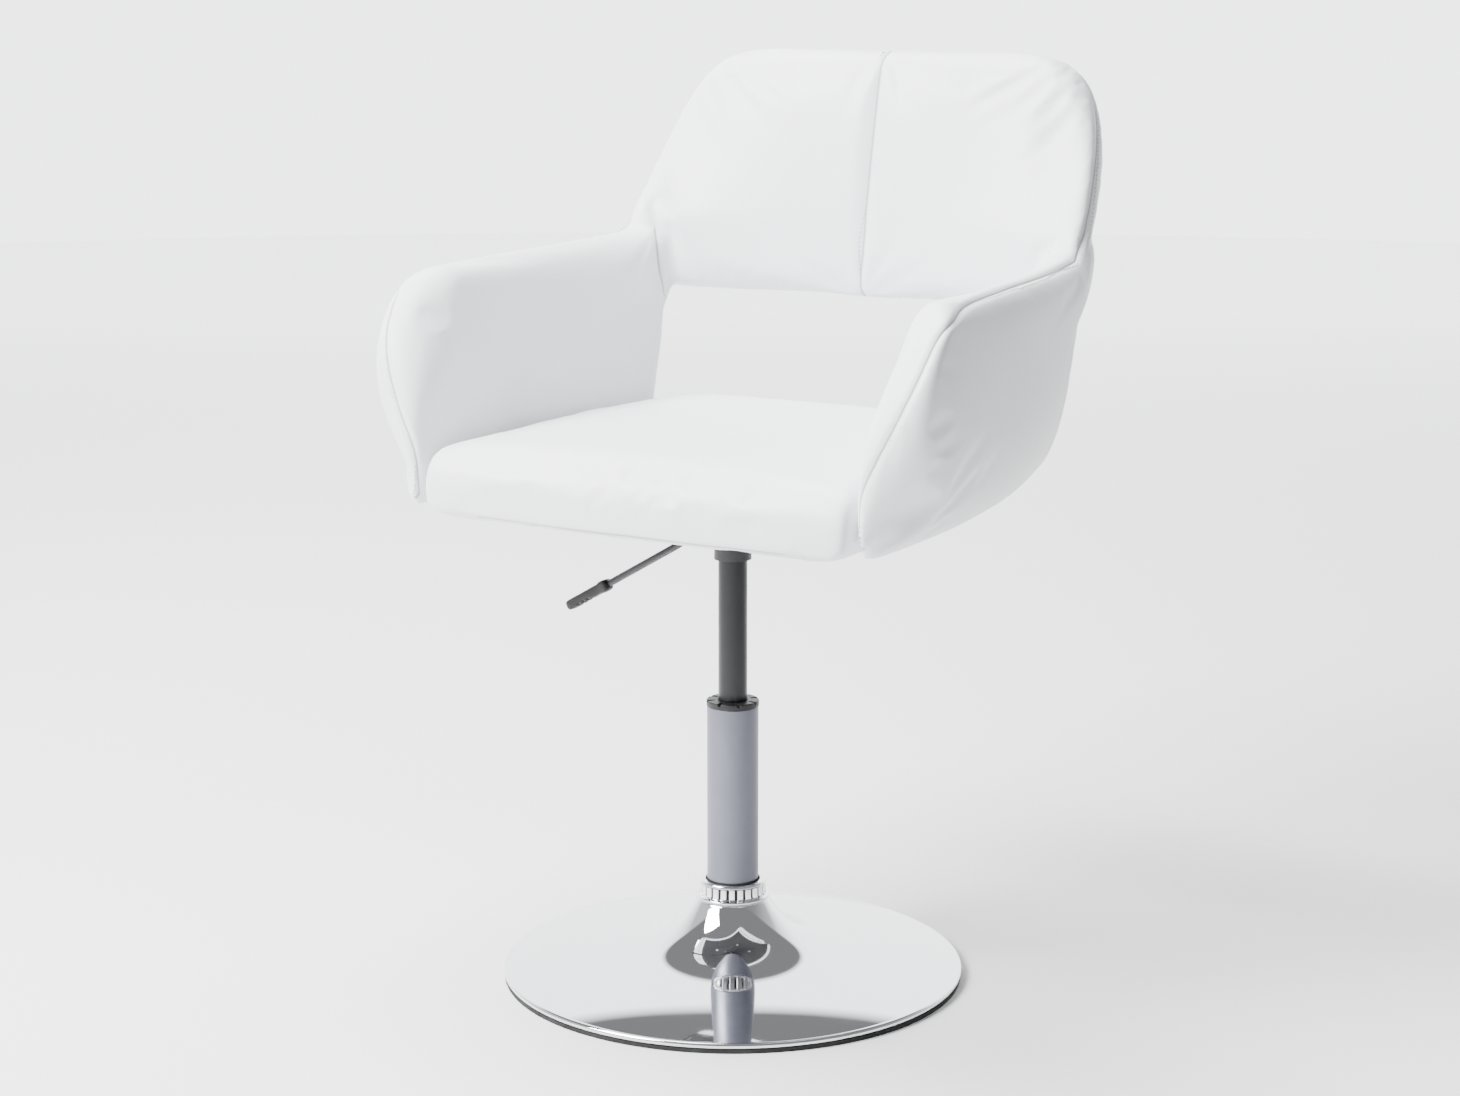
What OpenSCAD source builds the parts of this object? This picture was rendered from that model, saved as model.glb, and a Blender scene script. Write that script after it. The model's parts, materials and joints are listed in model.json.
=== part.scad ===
// Tub chair with arms on a gas lift and a round trumpet base, in millimetres.
// The origin is on the floor on the column's axis, +Z is up, and the sitter faces -Y.

/* [Base] */
// Diameter of the trumpet base
base_d = 450; // [380:5:560]
// Height of the trumpet from the top of its rim to its hub
base_rise = 67; // [40:1:100]
// How late the trumpet turns up: higher is flatter near the rim
flare = 7; // [3:0.1:9]
// Height of the gently rounded shoulder inside the rim
shoulder_h = 19; // [4:1:30]
// How closely the shoulder's roundness keeps to the rim
shoulder_round = 2.2; // [1.5:0.1:4]
// Height and thickness of the rolled bead along the rim
bead_d = 6; // [5:0.5:10]
// Sheet thickness of the trumpet
shell_t = 1.6; // [1:0.1:2.4]
// Thickness of the soft disc that the base stands on
floor_pad_t = 4; // [2:0.5:8]
// Width of the flat hub at the top of the trumpet, round the standpipe
hub_w = 10; // [8:0.5:25]
// Wall of the socket that holds the standpipe
sleeve_wall = 5; // [3:0.5:8]
// Height of that socket above the ballast plate
sleeve_h = 54; // [40:1:60]

/* [Collar] */
// Height of the ribbed collar on the hub
collar_h = 18; // [12:1:30]
// Width of the collar's flange, round the standpipe
collar_flange_w = 11.5; // [9:0.5:25]
// Width of the collar above its flange, round the standpipe
collar_w = 7.25; // [5:0.25:15]
// Number of grooves round the collar
collar_grooves = 24; // [12:1:36]

/* [Column] */
// Outside diameter of the standpipe
pipe_d = 50; // [40:0.5:62]
// Wall of the standpipe
pipe_wall = 1.5; // [1:0.1:2.5]
// Height of the standpipe's top edge above the floor
pipe_top = 269; // [230:1:320]
// Diameter of the pressure tube
tube_d = 28; // [22:0.1:34]
// Wall of the pressure tube
tube_wall = 1.5; // [1:0.1:2]
// Length of pressure tube inside the standpipe with the seat raised
tube_engaged = 101; // [90:1:110]
// Depth of the guide bush in the standpipe
bush_depth = 80; // [50:1:85]
// Height of the guide bush's flange above the standpipe
bush_flange_h = 6; // [4:0.5:10]
// Diameter of the piston rod
rod_d = 10; // [8:0.5:12]
// Number of balls in the swivel bearing
ball_count = 10; // [6:1:12]
// Diameter of each ball
ball_d = 3.9; // [3:0.1:4.5]

/* [Seat] */
// Height of the underside of the seat board above the floor, with the seat raised
seat_z = 462.5; // [440:0.5:560]
// Width of the cushion at its front
seat_w = 462; // [420:2:560]
// How much narrower the cushion is at its rear
seat_narrowing = 66; // [0:1:120]
// How far the cushion's front stands before the column's axis
seat_front = 193; // [185:1:240]
// How far the cushion's rear stands behind the column's axis
seat_rear = 225; // [205:1:250]
// Thickness of board and cushion together at the cushion's rim
seat_t = 70; // [55:1:90]
// Extra height of the cushion's crown
crown = 7; // [0:1:20]
// Thickness of the plywood seat board
board_t = 12; // [9:0.5:18]

/* [Arms] */
// Thickness of an arm at its front
arm_t = 69; // [60:1:90]
// Height of the arm's top at its front, above the seat board's underside
arm_h = 227; // [180:1:280]
// Extra height of the arm's top at its rear
arm_climb = 26; // [0:1:40]

/* [Back] */
// How far the back's sides stand inside the outer faces of the arms' rear ends
back_inset = 3; // [0:0.5:8]
// Height of the back's top above the seat board's underside
back_h = 425.5; // [380:0.5:520]
// Height of the open window's upper edge above the seat board's underside
window_top = 175.5; // [150:0.5:200]
// Thickness of the back at its centre, front to rear
back_t = 52; // [40:1:70]
// Forward reach of the back's wings at their rear face
wing = 60; // [40:1:70]

/* [Seat plate and lever] */
// Size of the seat plate across the chair
plate_w = 190; // [150:1:230]
// Size of the seat plate front to rear
plate_l = 150; // [120:1:200]
// Sheet thickness of the seat plate
plate_t = 2.5; // [2:0.1:3]
// Distance between the seat plate's screws across the chair
screw_x = 160; // [120:1:170]
// Distance between the seat plate's screws front to rear
screw_y = 120; // [90:1:140]
// Distance of the lever's tip from the column's axis
lever_reach = 192; // [170:1:230]
// Diameter of the lever's rod
lever_d = 7; // [6:0.5:9]
// Length of the lever's grip
grip_l = 58; // [40:1:70]

/* [Inner frame] */
// Diameter of the steel tube inside the arms and the back
frame_d = 16; // [12:0.1:20]

/* [Hidden] */
$fn = 96;

// Gaps: a running fit, a fit of parts that stay together, and clearance of parts that don't touch
run_gap = 0.08;
seat_gap = 0.05;
free_gap = 0.3;
pad_gap = 1.5;

// Base
base_r = base_d / 2;
hub_r = pipe_d / 2 + hub_w;
sleeve_r = pipe_d / 2 + sleeve_wall;
collar_r = pipe_d / 2 + collar_w;
collar_flange_r = pipe_d / 2 + collar_flange_w;
bead_r = bead_d / 2;
rim_z = floor_pad_t + bead_d;
rim_r = base_r - bead_r;
hub_z = rim_z + base_rise;
weight_z = floor_pad_t;
weight_top = rim_z - shell_t - 0.4;
weight_r = base_r - bead_d - 5;
flange_step = 3;
profile_steps = 32;

// Column
pipe_r = pipe_d / 2;
pipe_in = pipe_r - pipe_wall;
pipe_z = 14;
taper_z = weight_top + sleeve_h + 13;
taper = 1.4;
tube_r = tube_d / 2;
tube_in = tube_r - tube_wall;
tube_z = pipe_top - tube_engaged;
tube_lip = 2;
tube_top = seat_z - 15.5;
cone_h = 30;
cone_z = tube_top - cone_h - 3;
cone_taper = 0.8;
rod_r = rod_d / 2;
rod_z = 10;
gland_h = 14;
piston_z = tube_z + tube_lip + gland_h + 2;
piston_h = 10;

// Swivel bearing, from the standpipe's end plate upwards
end_z = pipe_z + 0.5;
end_top = end_z + 3.5;
race_t = 2;
ball_r = ball_d / 2;
ball_z = end_top + race_t + ball_r + seat_gap;
upper_z = ball_z + ball_r + seat_gap;
race_in = rod_r + 1;
race_out = race_in + 8;
ball_pitch = (race_in + race_out) / 2 - 0.5;
buffer_z = upper_z + race_t;
buffer_h = 10;

// Seat plate and lever
plate_z = seat_z - 3;
plate_top = plate_z + plate_t;
channel_z = plate_z - 29.5;
channel_y = 30;
channel_back = 52;
channel_front = -42;
floor_front = -24;
cone_r = tube_r + 4;
pin_r = 4;
pin_top = tube_top + 8.5;
pivot_x = -32;
pivot_z = plate_z - 12.5;
tongue_gap = 0.3;
tongue_t = 2.5;
tongue_y = 6;
lever_hub_r = 7;
lever_pin_r = 4;
lever_bend = [-24, 0, -23];
lever_slope = 30.3;
lever_run = lever_reach + pivot_x + lever_bend[0];
lever_end = [-lever_run, 0, -lever_run * tan(lever_slope)] + lever_bend;
screw_r = 3;
head_r = 6;
head_h = 4;
washer_t = 1;
nut_r = 4.5;
nut_flange_r = 9.5;
nut_flange_t = 1.5;

// Seat board, cover and cushion
seat_rear_w = seat_w - seat_narrowing;
board_x = seat_rear_w / 2 - 8;
board_front = seat_front - 28;
board_rear = seat_rear - 40;
cover_t = 0.4;
cover_z = seat_z - 0.45;
cover_over = 5;
staple = [10, 1, 0.35];
staple_step = 42;
cushion_top = seat_z + seat_t;
front_round = 40;

// Arms
arm_top = seat_z + arm_h;
arm_low = seat_z + 4.5;
arm_rear_low = 23;
arm_nose = seat_front - 13;
nose_round = 68;
rear_low_y = seat_rear - 58;
rear_lean = 0.277;
arm_outer = seat_w / 2 + arm_t;
arm_taper = 35;
tuck = 49;
tuck_h = 30;

// Back
back_x = arm_outer - arm_taper - back_inset;
back_top = seat_z + back_h;
back_low = seat_z + window_top;
back_y = seat_rear + 18;
back_lean = 0.179;
side_fall = back_h - window_top - 2;
front_wing = 30;

// Inner frame
frame_r = frame_d / 2;
weld = 0.35;
block = [44, 30, 14];
rail_z = seat_z + board_t + block[2] + frame_r + 2 * seat_gap;
rail_front = 55 - board_front;
rail_rear = board_rear - 95;
arm_post_x = seat_w / 2 + 24;
arm_rear_x = seat_rear_w / 2 + 36;
arm_tube_z = arm_top - 28;
arm_tube_front = 75 - arm_nose;
arm_tube_rear = seat_rear - 40;
arm_tube_x = arm_outer - arm_taper - 20;

// Curves

// Share of the way in from the trumpet's rim to its hub at radius r
function inward(r) = (rim_r - r) / (rim_r - hub_r);

// Height of the trumpet's upper face at radius r: a rounded shoulder, then a flare up to the hub
function trumpet_z(r) = rim_z + shoulder_h * (1 - pow(1 - inward(r), shoulder_round))
    + (base_rise - shoulder_h) * pow(inward(r), flare);

// Height of its lower face: the sheet is twice as thick at the hub, measured upright
function trumpet_under(r) = trumpet_z(r) - shell_t * (1 + pow(inward(r), 6));

// A point at angle a on a square with soft corners, from -1 to 1 each way; a higher p is squarer
function soft(a, p) = [sign(cos(a)) * pow(abs(cos(a)), 2 / p), sign(sin(a)) * pow(abs(sin(a)), 2 / p)];

// Linear blend from a to b
function mix(a, b, t) = a + (b - a) * t;

// Half width of the cushion at y: nearly straight at the front, narrowing towards the rear
function seat_half(y) =
    seat_w / 2 - (seat_w - seat_rear_w) / 2 * pow(max(0, y + arm_nose) / (seat_rear + arm_nose), 2.6);

// A ring of the cushion: t runs from front (0) to rear (1), k shrinks the ring, dy moves it out
function seat_ring(t, k, dy) = [for (a = [0 : 15 : 345])
    let (s = soft(a, 5) * k)
    let (z = mix(seat_z, cushion_top + crown * (1 - s[0] * s[0]), (s[1] + 1) / 2))
    let (nose = -seat_front + 4 + front_round * pow((z - seat_z) / (seat_t + crown), 4))
    let (y = mix(nose, seat_rear - 4, t))
    [s[0] * (seat_half(y) - pad_gap / 2), y + dy, z]];

// The nose's outline in side view: upright below, rounding back towards the arm's top
function nose_y(z) = -arm_nose + nose_round * pow(max(0, z - arm_low) / (arm_top - arm_low), 4);

// The leaning rear edge of the arms
function rear_y(z) = rear_low_y + rear_lean * (z - arm_low - arm_rear_low);

// A ring of the left arm, with the same t, k and dy as the cushion's
function arm_ring(t, k, dy) = [for (a = [0 : 15 : 345])
    let (s = soft(a, 4.5) * k)
    let (low = arm_low + arm_rear_low * t * t, top = arm_top + arm_climb * t)
    let (z = mix(low, top, (s[1] + 1) / 2))
    let (y = mix(nose_y(z), rear_y(z), t))
    let (inner = seat_half(y) + pad_gap / 2 + mix(0.073, 0.12, t) * max(0, z - cushion_top + 20))
    let (outer = arm_outer - arm_taper * pow(t, 2.4) - tuck * exp((low - z) / tuck_h))
    [mix(inner, outer, (s[0] + 1) / 2), y + dy, z]];

// How strongly the wings reach forward at height z: fully up to the arms, not at all near the top
function wing_at(z) = pow(max(0, min(1, (back_top - 18 - z) / (back_top - 18 - arm_top - arm_climb))), 1.7);

// A ring of the back at x, shrunk by k
function back_ring(x, k) = [for (a = [0 : 15 : 345])
    let (s = soft(a, 5) * k, f = abs(x) / back_x)
    let (low = back_low + 12 * pow(f, 12))
    let (top = back_top - side_fall * pow(abs(x) / (back_x + 8), 10))
    let (z = mix(low, top, (s[1] + 1) / 2))
    let (reach = pow(f, 2.4) * wing_at(z))
    let (lean = back_lean * (z - back_low))
    [x, mix(back_y - front_wing * reach, back_y + back_t - wing * reach, (s[0] + 1) / 2) + lean, z]];

// A closed solid through a list of rings that have the same number of points
module loft(rings) {
    n = len(rings[0]);
    last = len(rings) - 1;
    sides = [for (i = [0 : last - 1]) for (j = [0 : n - 1])
        let (a = i * n + j, b = i * n + (j + 1) % n)
        each [[a, b, b + n], [a, b + n, a + n]]];
    ends = [[for (j = [n - 1 : -1 : 0]) j], [for (j = [0 : n - 1]) last * n + j]];
    polyhedron(points = [for (r = rings) each r], faces = concat(sides, ends), convexity = 6);
}

// A straight round bar from p to q
module bar(p, q, r) {
    d = q - p;
    translate(p)
        rotate([0, acos(d[2] / norm(d)), atan2(d[1], d[0])])
            cylinder(h = norm(d), r = r);
}

// A bent round bar through a list of points, with a weld bead round each bend
module bent_bar(path, r) {
    for (i = [0 : len(path) - 2])
        bar(path[i], path[i + 1], r);
    for (i = [1 : len(path) - 2])
        translate(path[i])
            sphere(r = r + weld);
}

// A round ring on the column's axis
module ring(z, h, r_out, r_in) {
    translate([0, 0, z])
        difference() {
            cylinder(h = h, r = r_out);
            translate([0, 0, -1])
                cylinder(h = h + 2, r = r_in);
        }
}

// Copies at the seat plate's four screws
module at_screws() {
    for (x = [-1, 1] * screw_x / 2)
        for (y = [-1, 1] * screw_y / 2)
            translate([x, y, 0])
                children();
}

module floor_pad() {
    color("#202022")
        cylinder(h = floor_pad_t, r = base_r - 1, $fn = 180);
}

module base_weight() {
    color("#3a3b3d")
        ring(weight_z, weight_top - weight_z, weight_r, sleeve_r + seat_gap);
}

module base_shell() {
    radii = [for (i = [0 : profile_steps]) mix(rim_r, hub_r, i / profile_steps)];
    top = [for (r = radii) [r, trumpet_z(r)]];
    under = [for (i = [profile_steps : -1 : 0]) [radii[i], trumpet_under(radii[i])]];
    color("#d9dce0")
        union() {
            rotate_extrude($fn = 180)
                polygon(concat(top, [[pipe_r + 0.2, hub_z], [pipe_r + 0.2, hub_z - shell_t]], under));
            rotate_extrude($fn = 180)
                translate([rim_r, floor_pad_t + bead_r])
                    circle(r = bead_r, $fn = 48);
        }
}

module hub_sleeve() {
    sleeve_top = weight_top + sleeve_h;
    low_r = pipe_r - taper + seat_gap;
    mouth_r = mix(low_r, pipe_r + seat_gap, (sleeve_top - pipe_z) / (taper_z - pipe_z));
    color("#4a4b4e")
        rotate_extrude()
            polygon([[low_r, weight_z], [sleeve_r, weight_z], [sleeve_r, weight_top + seat_gap],
                [sleeve_r + 18, weight_top + seat_gap], [sleeve_r + 18, weight_top + flange_step],
                [sleeve_r, weight_top + flange_step], [sleeve_r, sleeve_top], [mouth_r, sleeve_top],
                [low_r, pipe_z]]);
}

module collar_ring() {
    color("#cfd2d6")
        difference() {
            union() {
                ring(hub_z, flange_step, collar_flange_r, pipe_r + 1.2);
                ring(hub_z, collar_h, collar_r, pipe_r + 1.2);
            }
            for (i = [0 : collar_grooves - 1])
                rotate([0, 0, i * 360 / collar_grooves])
                    translate([collar_r - 1.4, -1.6, hub_z + flange_step + 0.8])
                        cube([5, 3.2, collar_h - flange_step - 3]);
        }
}

module collar_seal() {
    color("#1c1c1e")
        ring(hub_z + 1, collar_h, pipe_r + 1.1, pipe_r + 0.1);
}

module standpipe() {
    color("#a3a4b0")
        rotate_extrude()
            polygon([[pipe_in - taper, pipe_z], [pipe_r - taper, pipe_z], [pipe_r, taper_z],
                [pipe_r, pipe_top], [pipe_in, pipe_top], [pipe_in, taper_z]]);
}

module guide_bush() {
    notches = 8;
    color("#18181a")
        difference() {
            union() {
                ring(pipe_top - bush_depth, bush_depth, pipe_in - seat_gap, tube_r + run_gap);
                ring(pipe_top, bush_flange_h, pipe_r + 0.5, tube_r + run_gap);
            }
            for (i = [0 : notches - 1])
                rotate([0, 0, i * 360 / notches])
                    translate([tube_r + 4, -1.5, pipe_top + bush_flange_h - 2])
                        cube([pipe_r, 3, 4]);
        }
}

module end_plate() {
    color("#8d8f94")
        ring(end_z, end_top - end_z, pipe_in - taper - seat_gap, rod_r + free_gap);
}

module lower_race() {
    color("#9a9ca1")
        ring(end_top, race_t, race_out, race_in);
}

module bearing_balls() {
    color("#c8cace")
        for (i = [0 : ball_count - 1])
            rotate([0, 0, i * 360 / ball_count])
                translate([ball_pitch, 0, ball_z])
                    sphere(r = ball_r, $fn = 24);
}

module ball_cage() {
    cage_t = 1.2;
    color("#b08d3c")
        difference() {
            ring(ball_z - cage_t / 2, cage_t, race_out - 0.6, race_in + 0.6);
            for (i = [0 : ball_count - 1])
                rotate([0, 0, i * 360 / ball_count])
                    translate([ball_pitch, 0, ball_z - cage_t])
                        cylinder(h = 2 * cage_t, r = ball_r + 0.15, $fn = 24);
        }
}

module upper_race() {
    color("#9a9ca1")
        ring(upper_z, race_t, race_out, rod_r + seat_gap);
}

module retaining_clip() {
    groove = 1;
    color("#55575b")
        difference() {
            ring(end_z - 2, 1.7, rod_r + 5, rod_r - groove + seat_gap);
            translate([0, -2, end_z - 3])
                cube([rod_r + 6, 4, 4]);
        }
}

module rubber_buffer() {
    color("#232325")
        ring(buffer_z, buffer_h, race_out - 1, rod_r + seat_gap);
}

module piston_rod() {
    groove = 1;
    color("#d3d5d9")
        difference() {
            translate([0, 0, rod_z])
                cylinder(h = piston_z + piston_h - rod_z, r = rod_r);
            ring(end_z - 2.1, 1.9, rod_r + 1, rod_r - groove);
        }
}

module piston() {
    color("#b7b9be")
        difference() {
            ring(piston_z, piston_h, tube_in - free_gap, rod_r + seat_gap);
            ring(piston_z + piston_h / 2 - 1.5, 3, tube_in + 1, tube_in - 2.6);
        }
}

module piston_seal() {
    color("#1d1d1f")
        translate([0, 0, piston_z + piston_h / 2])
            rotate_extrude()
                translate([tube_in - 1.35, 0])
                    circle(r = 1.2, $fn = 32);
}

module pressure_tube() {
    color("#46464a")
        rotate_extrude()
            polygon([[rod_r + 2, tube_z], [tube_r, tube_z], [tube_r, cone_z],
                [tube_r - cone_taper, tube_top], [pin_r + free_gap, tube_top],
                [pin_r + free_gap, tube_top - 2], [tube_in - cone_taper, tube_top - 2],
                [tube_in - cone_taper, cone_z], [tube_in, cone_z - 6], [tube_in, tube_z + tube_lip],
                [rod_r + 2, tube_z + tube_lip]]);
}

module rod_gland() {
    color("#c2a14d")
        ring(tube_z + tube_lip + seat_gap, gland_h, tube_in - seat_gap, rod_r + run_gap);
}

module valve_body() {
    color("#b9975b")
        difference() {
            translate([0, 0, cone_z])
                cylinder(h = tube_top - 2 - seat_gap - cone_z, r = tube_in - cone_taper - seat_gap);
            translate([0, 0, cone_z + 4])
                cylinder(h = tube_top, r = pin_r + free_gap);
        }
}

module release_pin() {
    dome_r = 8;
    dome = dome_r - sqrt(dome_r * dome_r - pin_r * pin_r);
    color("#d8dade")
        intersection() {
            translate([0, 0, cone_z + 10])
                cylinder(h = pin_top - cone_z - 10, r = pin_r);
            union() {
                translate([0, 0, pin_top - dome_r])
                    sphere(r = dome_r);
                translate([0, 0, cone_z + 9])
                    cylinder(h = pin_top - dome - cone_z - 9, r = pin_r + 1);
            }
        }
}

module socket_cone() {
    color("#2b2b2e")
        rotate_extrude()
            polygon([[tube_r + seat_gap, cone_z], [cone_r, cone_z], [cone_r, cone_z + cone_h],
                [tube_r + seat_gap - cone_taper * cone_h / (tube_top - cone_z), cone_z + cone_h]]);
}

module lift_plate() {
    length = channel_back - channel_front;
    depth = plate_z - channel_z;
    color("#1b1b1d")
        difference() {
            union() {
                translate([-plate_w / 2, -plate_l / 2, plate_z])
                    cube([plate_w, plate_l, plate_t]);
                for (y = [-channel_y, channel_y - plate_t])
                    translate([channel_front, y, channel_z])
                        cube([length, plate_t, depth]);
                translate([channel_back - plate_t, -channel_y, channel_z])
                    cube([plate_t, 2 * channel_y, depth]);
                translate([floor_front, -channel_y, channel_z])
                    cube([channel_back - floor_front, 2 * channel_y, plate_t]);
            }
            translate([0, 0, channel_z - 1])
                cylinder(h = plate_t + 2, r = cone_r + seat_gap);
            translate([pivot_x, -channel_y - 1, pivot_z])
                rotate([-90, 0, 0])
                    cylinder(h = 2 * channel_y + 2, r = lever_pin_r + seat_gap);
            at_screws()
                translate([0, 0, plate_z - 1])
                    cylinder(h = plate_t + 2, r = screw_r + 0.5);
        }
}

module lever_pin() {
    head = 2;
    color("#9b9da2")
        translate([pivot_x, 0, pivot_z])
            rotate([-90, 0, 0]) {
                translate([0, 0, -channel_y - head])
                    cylinder(h = 2 * channel_y + 2 * head, r = lever_pin_r);
                for (end = [-channel_y - head - seat_gap, channel_y + seat_gap])
                    translate([0, 0, end])
                        cylinder(h = head, r = lever_pin_r + 1.5);
            }
}

module lever_hub() {
    half = channel_y - plate_t - 2;
    tongue_z = pin_top + tongue_gap - pivot_z;
    color("#29292c")
        translate([pivot_x, 0, pivot_z])
            difference() {
                union() {
                    rotate([-90, 0, 0])
                        translate([0, 0, -half])
                            cylinder(h = 2 * half, r = lever_hub_r);
                    translate([-3, -tongue_y, 0])
                        cube([9, 2 * tongue_y, tongue_z + tongue_t]);
                    translate([-3, -tongue_y, tongue_z])
                        cube([-pivot_x + 7, 2 * tongue_y, tongue_t]);
                }
                rotate([-90, 0, 0])
                    translate([0, 0, -half - 1])
                        cylinder(h = 2 * half + 2, r = lever_pin_r + run_gap);
            }
}

module lever_rod() {
    start = lever_bend * (lever_hub_r - 0.5) / norm(lever_bend);
    tip = lever_end - 6 * (lever_end - lever_bend) / norm(lever_end - lever_bend);
    color("#222225")
        translate([pivot_x, 0, pivot_z])
            difference() {
                bent_bar([start, lever_bend, tip], lever_d / 2);
                rotate([-90, 0, 0])
                    translate([0, 0, -channel_y])
                        cylinder(h = 2 * channel_y, r = lever_hub_r + seat_gap);
            }
}

module lever_grip() {
    dir = (lever_end - lever_bend) / norm(lever_end - lever_bend);
    end_r = 4.6;
    half = 3.6;
    color("#161618")
        translate([pivot_x, 0, pivot_z])
            difference() {
                hull()
                    for (p = [lever_end - grip_l * dir + end_r * dir, lever_end - end_r * dir])
                        for (y = [-half, half])
                            translate(p + [0, y, 0])
                                sphere(r = end_r, $fn = 32);
                bar(lever_bend, lever_end - 5.8 * dir, lever_d / 2 + seat_gap);
            }
}

module mounting_screws() {
    color("#a7a9ad")
        at_screws() {
            translate([0, 0, plate_z - washer_t - head_h - seat_gap])
                difference() {
                    cylinder(h = head_h, r = head_r);
                    translate([0, 0, -1])
                        cylinder(h = 3, r = 2.9, $fn = 6);
                }
            translate([0, 0, plate_z - washer_t - seat_gap - 0.01])
                cylinder(h = seat_z + board_t + washer_t - plate_z, r = screw_r);
        }
}

module washers() {
    color("#b9bbbf")
        at_screws()
            ring(plate_z - washer_t - seat_gap / 2, washer_t, head_r + 1.5, screw_r + free_gap);
}

module t_nuts() {
    color("#b3b5b9")
        at_screws()
            difference() {
                union() {
                    translate([0, 0, seat_z + board_t])
                        cylinder(h = nut_flange_t, r = nut_flange_r);
                    translate([0, 0, seat_z + 3])
                        cylinder(h = board_t - 2, r = nut_r);
                }
                translate([0, 0, seat_z])
                    cylinder(h = board_t + 3, r = screw_r + seat_gap);
            }
}

module seat_board() {
    color("#c9a877")
        difference() {
            translate([-board_x, -board_front, seat_z])
                cube([2 * board_x, board_front + board_rear, board_t]);
            at_screws()
                translate([0, 0, seat_z - 1])
                    cylinder(h = board_t + 2, r = nut_r + seat_gap);
        }
}

module dust_cover() {
    color("#161617")
        difference() {
            translate([-board_x - cover_over, -board_front - cover_over, cover_z])
                cube([2 * (board_x + cover_over), board_front + board_rear + 2 * cover_over, cover_t]);
            at_screws()
                translate([0, 0, cover_z - 1])
                    cylinder(h = cover_t + 2, r = screw_r + 0.5);
        }
}

module staples() {
    across = floor((2 * board_x - 20) / staple_step);
    along = floor((board_front + board_rear - 20) / staple_step);
    mid = (board_rear - board_front) / 2;
    color("#b8babd") {
        for (i = [0 : across])
            for (y = [4 - board_front, board_rear - 4])
                translate([(i - across / 2) * staple_step, y, cover_z - staple[2] / 2])
                    cube(staple, center = true);
        for (i = [0 : along])
            for (x = [4 - board_x, board_x - 4])
                translate([x, mid + (i - along / 2) * staple_step, cover_z - staple[2] / 2])
                    cube([staple[1], staple[0], staple[2]], center = true);
    }
}

module rail_blocks() {
    color("#b89568")
        for (x = [-1, 1] * (board_x - block[0]))
            for (y = [rail_front, rail_rear])
                translate([x - block[0] / 2, y - block[1] / 2, seat_z + board_t + seat_gap])
                    cube(block);
}

module cross_rails() {
    color("#2e2f32")
        for (end = [[arm_post_x, rail_front], [arm_rear_x, rail_rear]])
            bar([frame_r + seat_gap - end[0], end[1], rail_z], [end[0] - frame_r - seat_gap, end[1], rail_z],
                frame_r);
}

// The tube inside the left arm: up the front, back along the top and down to the rear rail
module arm_frame() {
    foot = rail_z - frame_r;
    color("#2e2f32")
        bent_bar([[arm_post_x, rail_front, foot], [arm_post_x + 8, arm_tube_front, arm_tube_z],
            [arm_tube_x, arm_tube_rear, arm_tube_z + 12], [arm_rear_x, rail_rear, foot]], frame_r);
}

module left_arm_frame() {
    arm_frame();
}

module right_arm_frame() {
    mirror([1, 0, 0])
        arm_frame();
}

// A loop of tube inside the back, bowed rearwards below, its ends joined by a sleeve at the top
module back_frame() {
    sleeve = 60;
    end_gap = 1;
    low = [back_x - 72, back_y + 8, back_low + 30];
    top = [back_x - 87, back_y + 63, back_top - 38];
    bow = [low[0] - 60, low[1] + 19, low[2]];
    left = [[end_gap, top[1], top[2]], top, low, bow];
    right = [for (i = [3 : -1 : 0]) [-left[i][0], left[i][1], left[i][2]]];
    color("#2e2f32") {
        bent_bar(concat(left, right), frame_r);
        bar([-sleeve / 2, top[1], top[2]], [sleeve / 2, top[1], top[2]], frame_r + 1.5);
    }
}

module seat_pad() {
    color("#edeff2")
        difference() {
            loft(concat([seat_ring(0, 0.8, -4), seat_ring(0, 0.93, -3), seat_ring(0, 1, 0)],
                [for (t = [0.08 : 0.115 : 0.99]) seat_ring(t, 1, 0)],
                [seat_ring(1, 1, 0), seat_ring(1, 0.93, 3), seat_ring(1, 0.8, 4)]));
            translate([-board_x - free_gap, -board_front - free_gap, seat_z - 1])
                cube([2 * (board_x + free_gap), board_front + board_rear + 2 * free_gap,
                    board_t + nut_flange_t + free_gap + 1]);
        }
}

module arm_pad() {
    color("#eceef1")
        loft(concat([arm_ring(0, 0.8, -5), arm_ring(0, 0.93, -3.5), arm_ring(0, 1, 0)],
            [for (t = [0.06 : 0.094 : 0.95]) arm_ring(t, 1, 0)],
            [arm_ring(0.98, 1, 0), arm_ring(1, 0.93, 0)]));
}

module left_arm_pad() {
    arm_pad();
}

module right_arm_pad() {
    mirror([1, 0, 0])
        arm_pad();
}

module back_pad() {
    edge = back_x - 4;
    color("#eceef1")
        loft(concat([back_ring(-back_x, 0.8), back_ring(1.5 - back_x, 0.93)],
            [for (f = [-1 : 0.1 : 1.01]) back_ring(edge * sin(90 * f), 1)],
            [back_ring(back_x - 1.5, 0.93), back_ring(back_x, 0.8)]));
}

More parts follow.
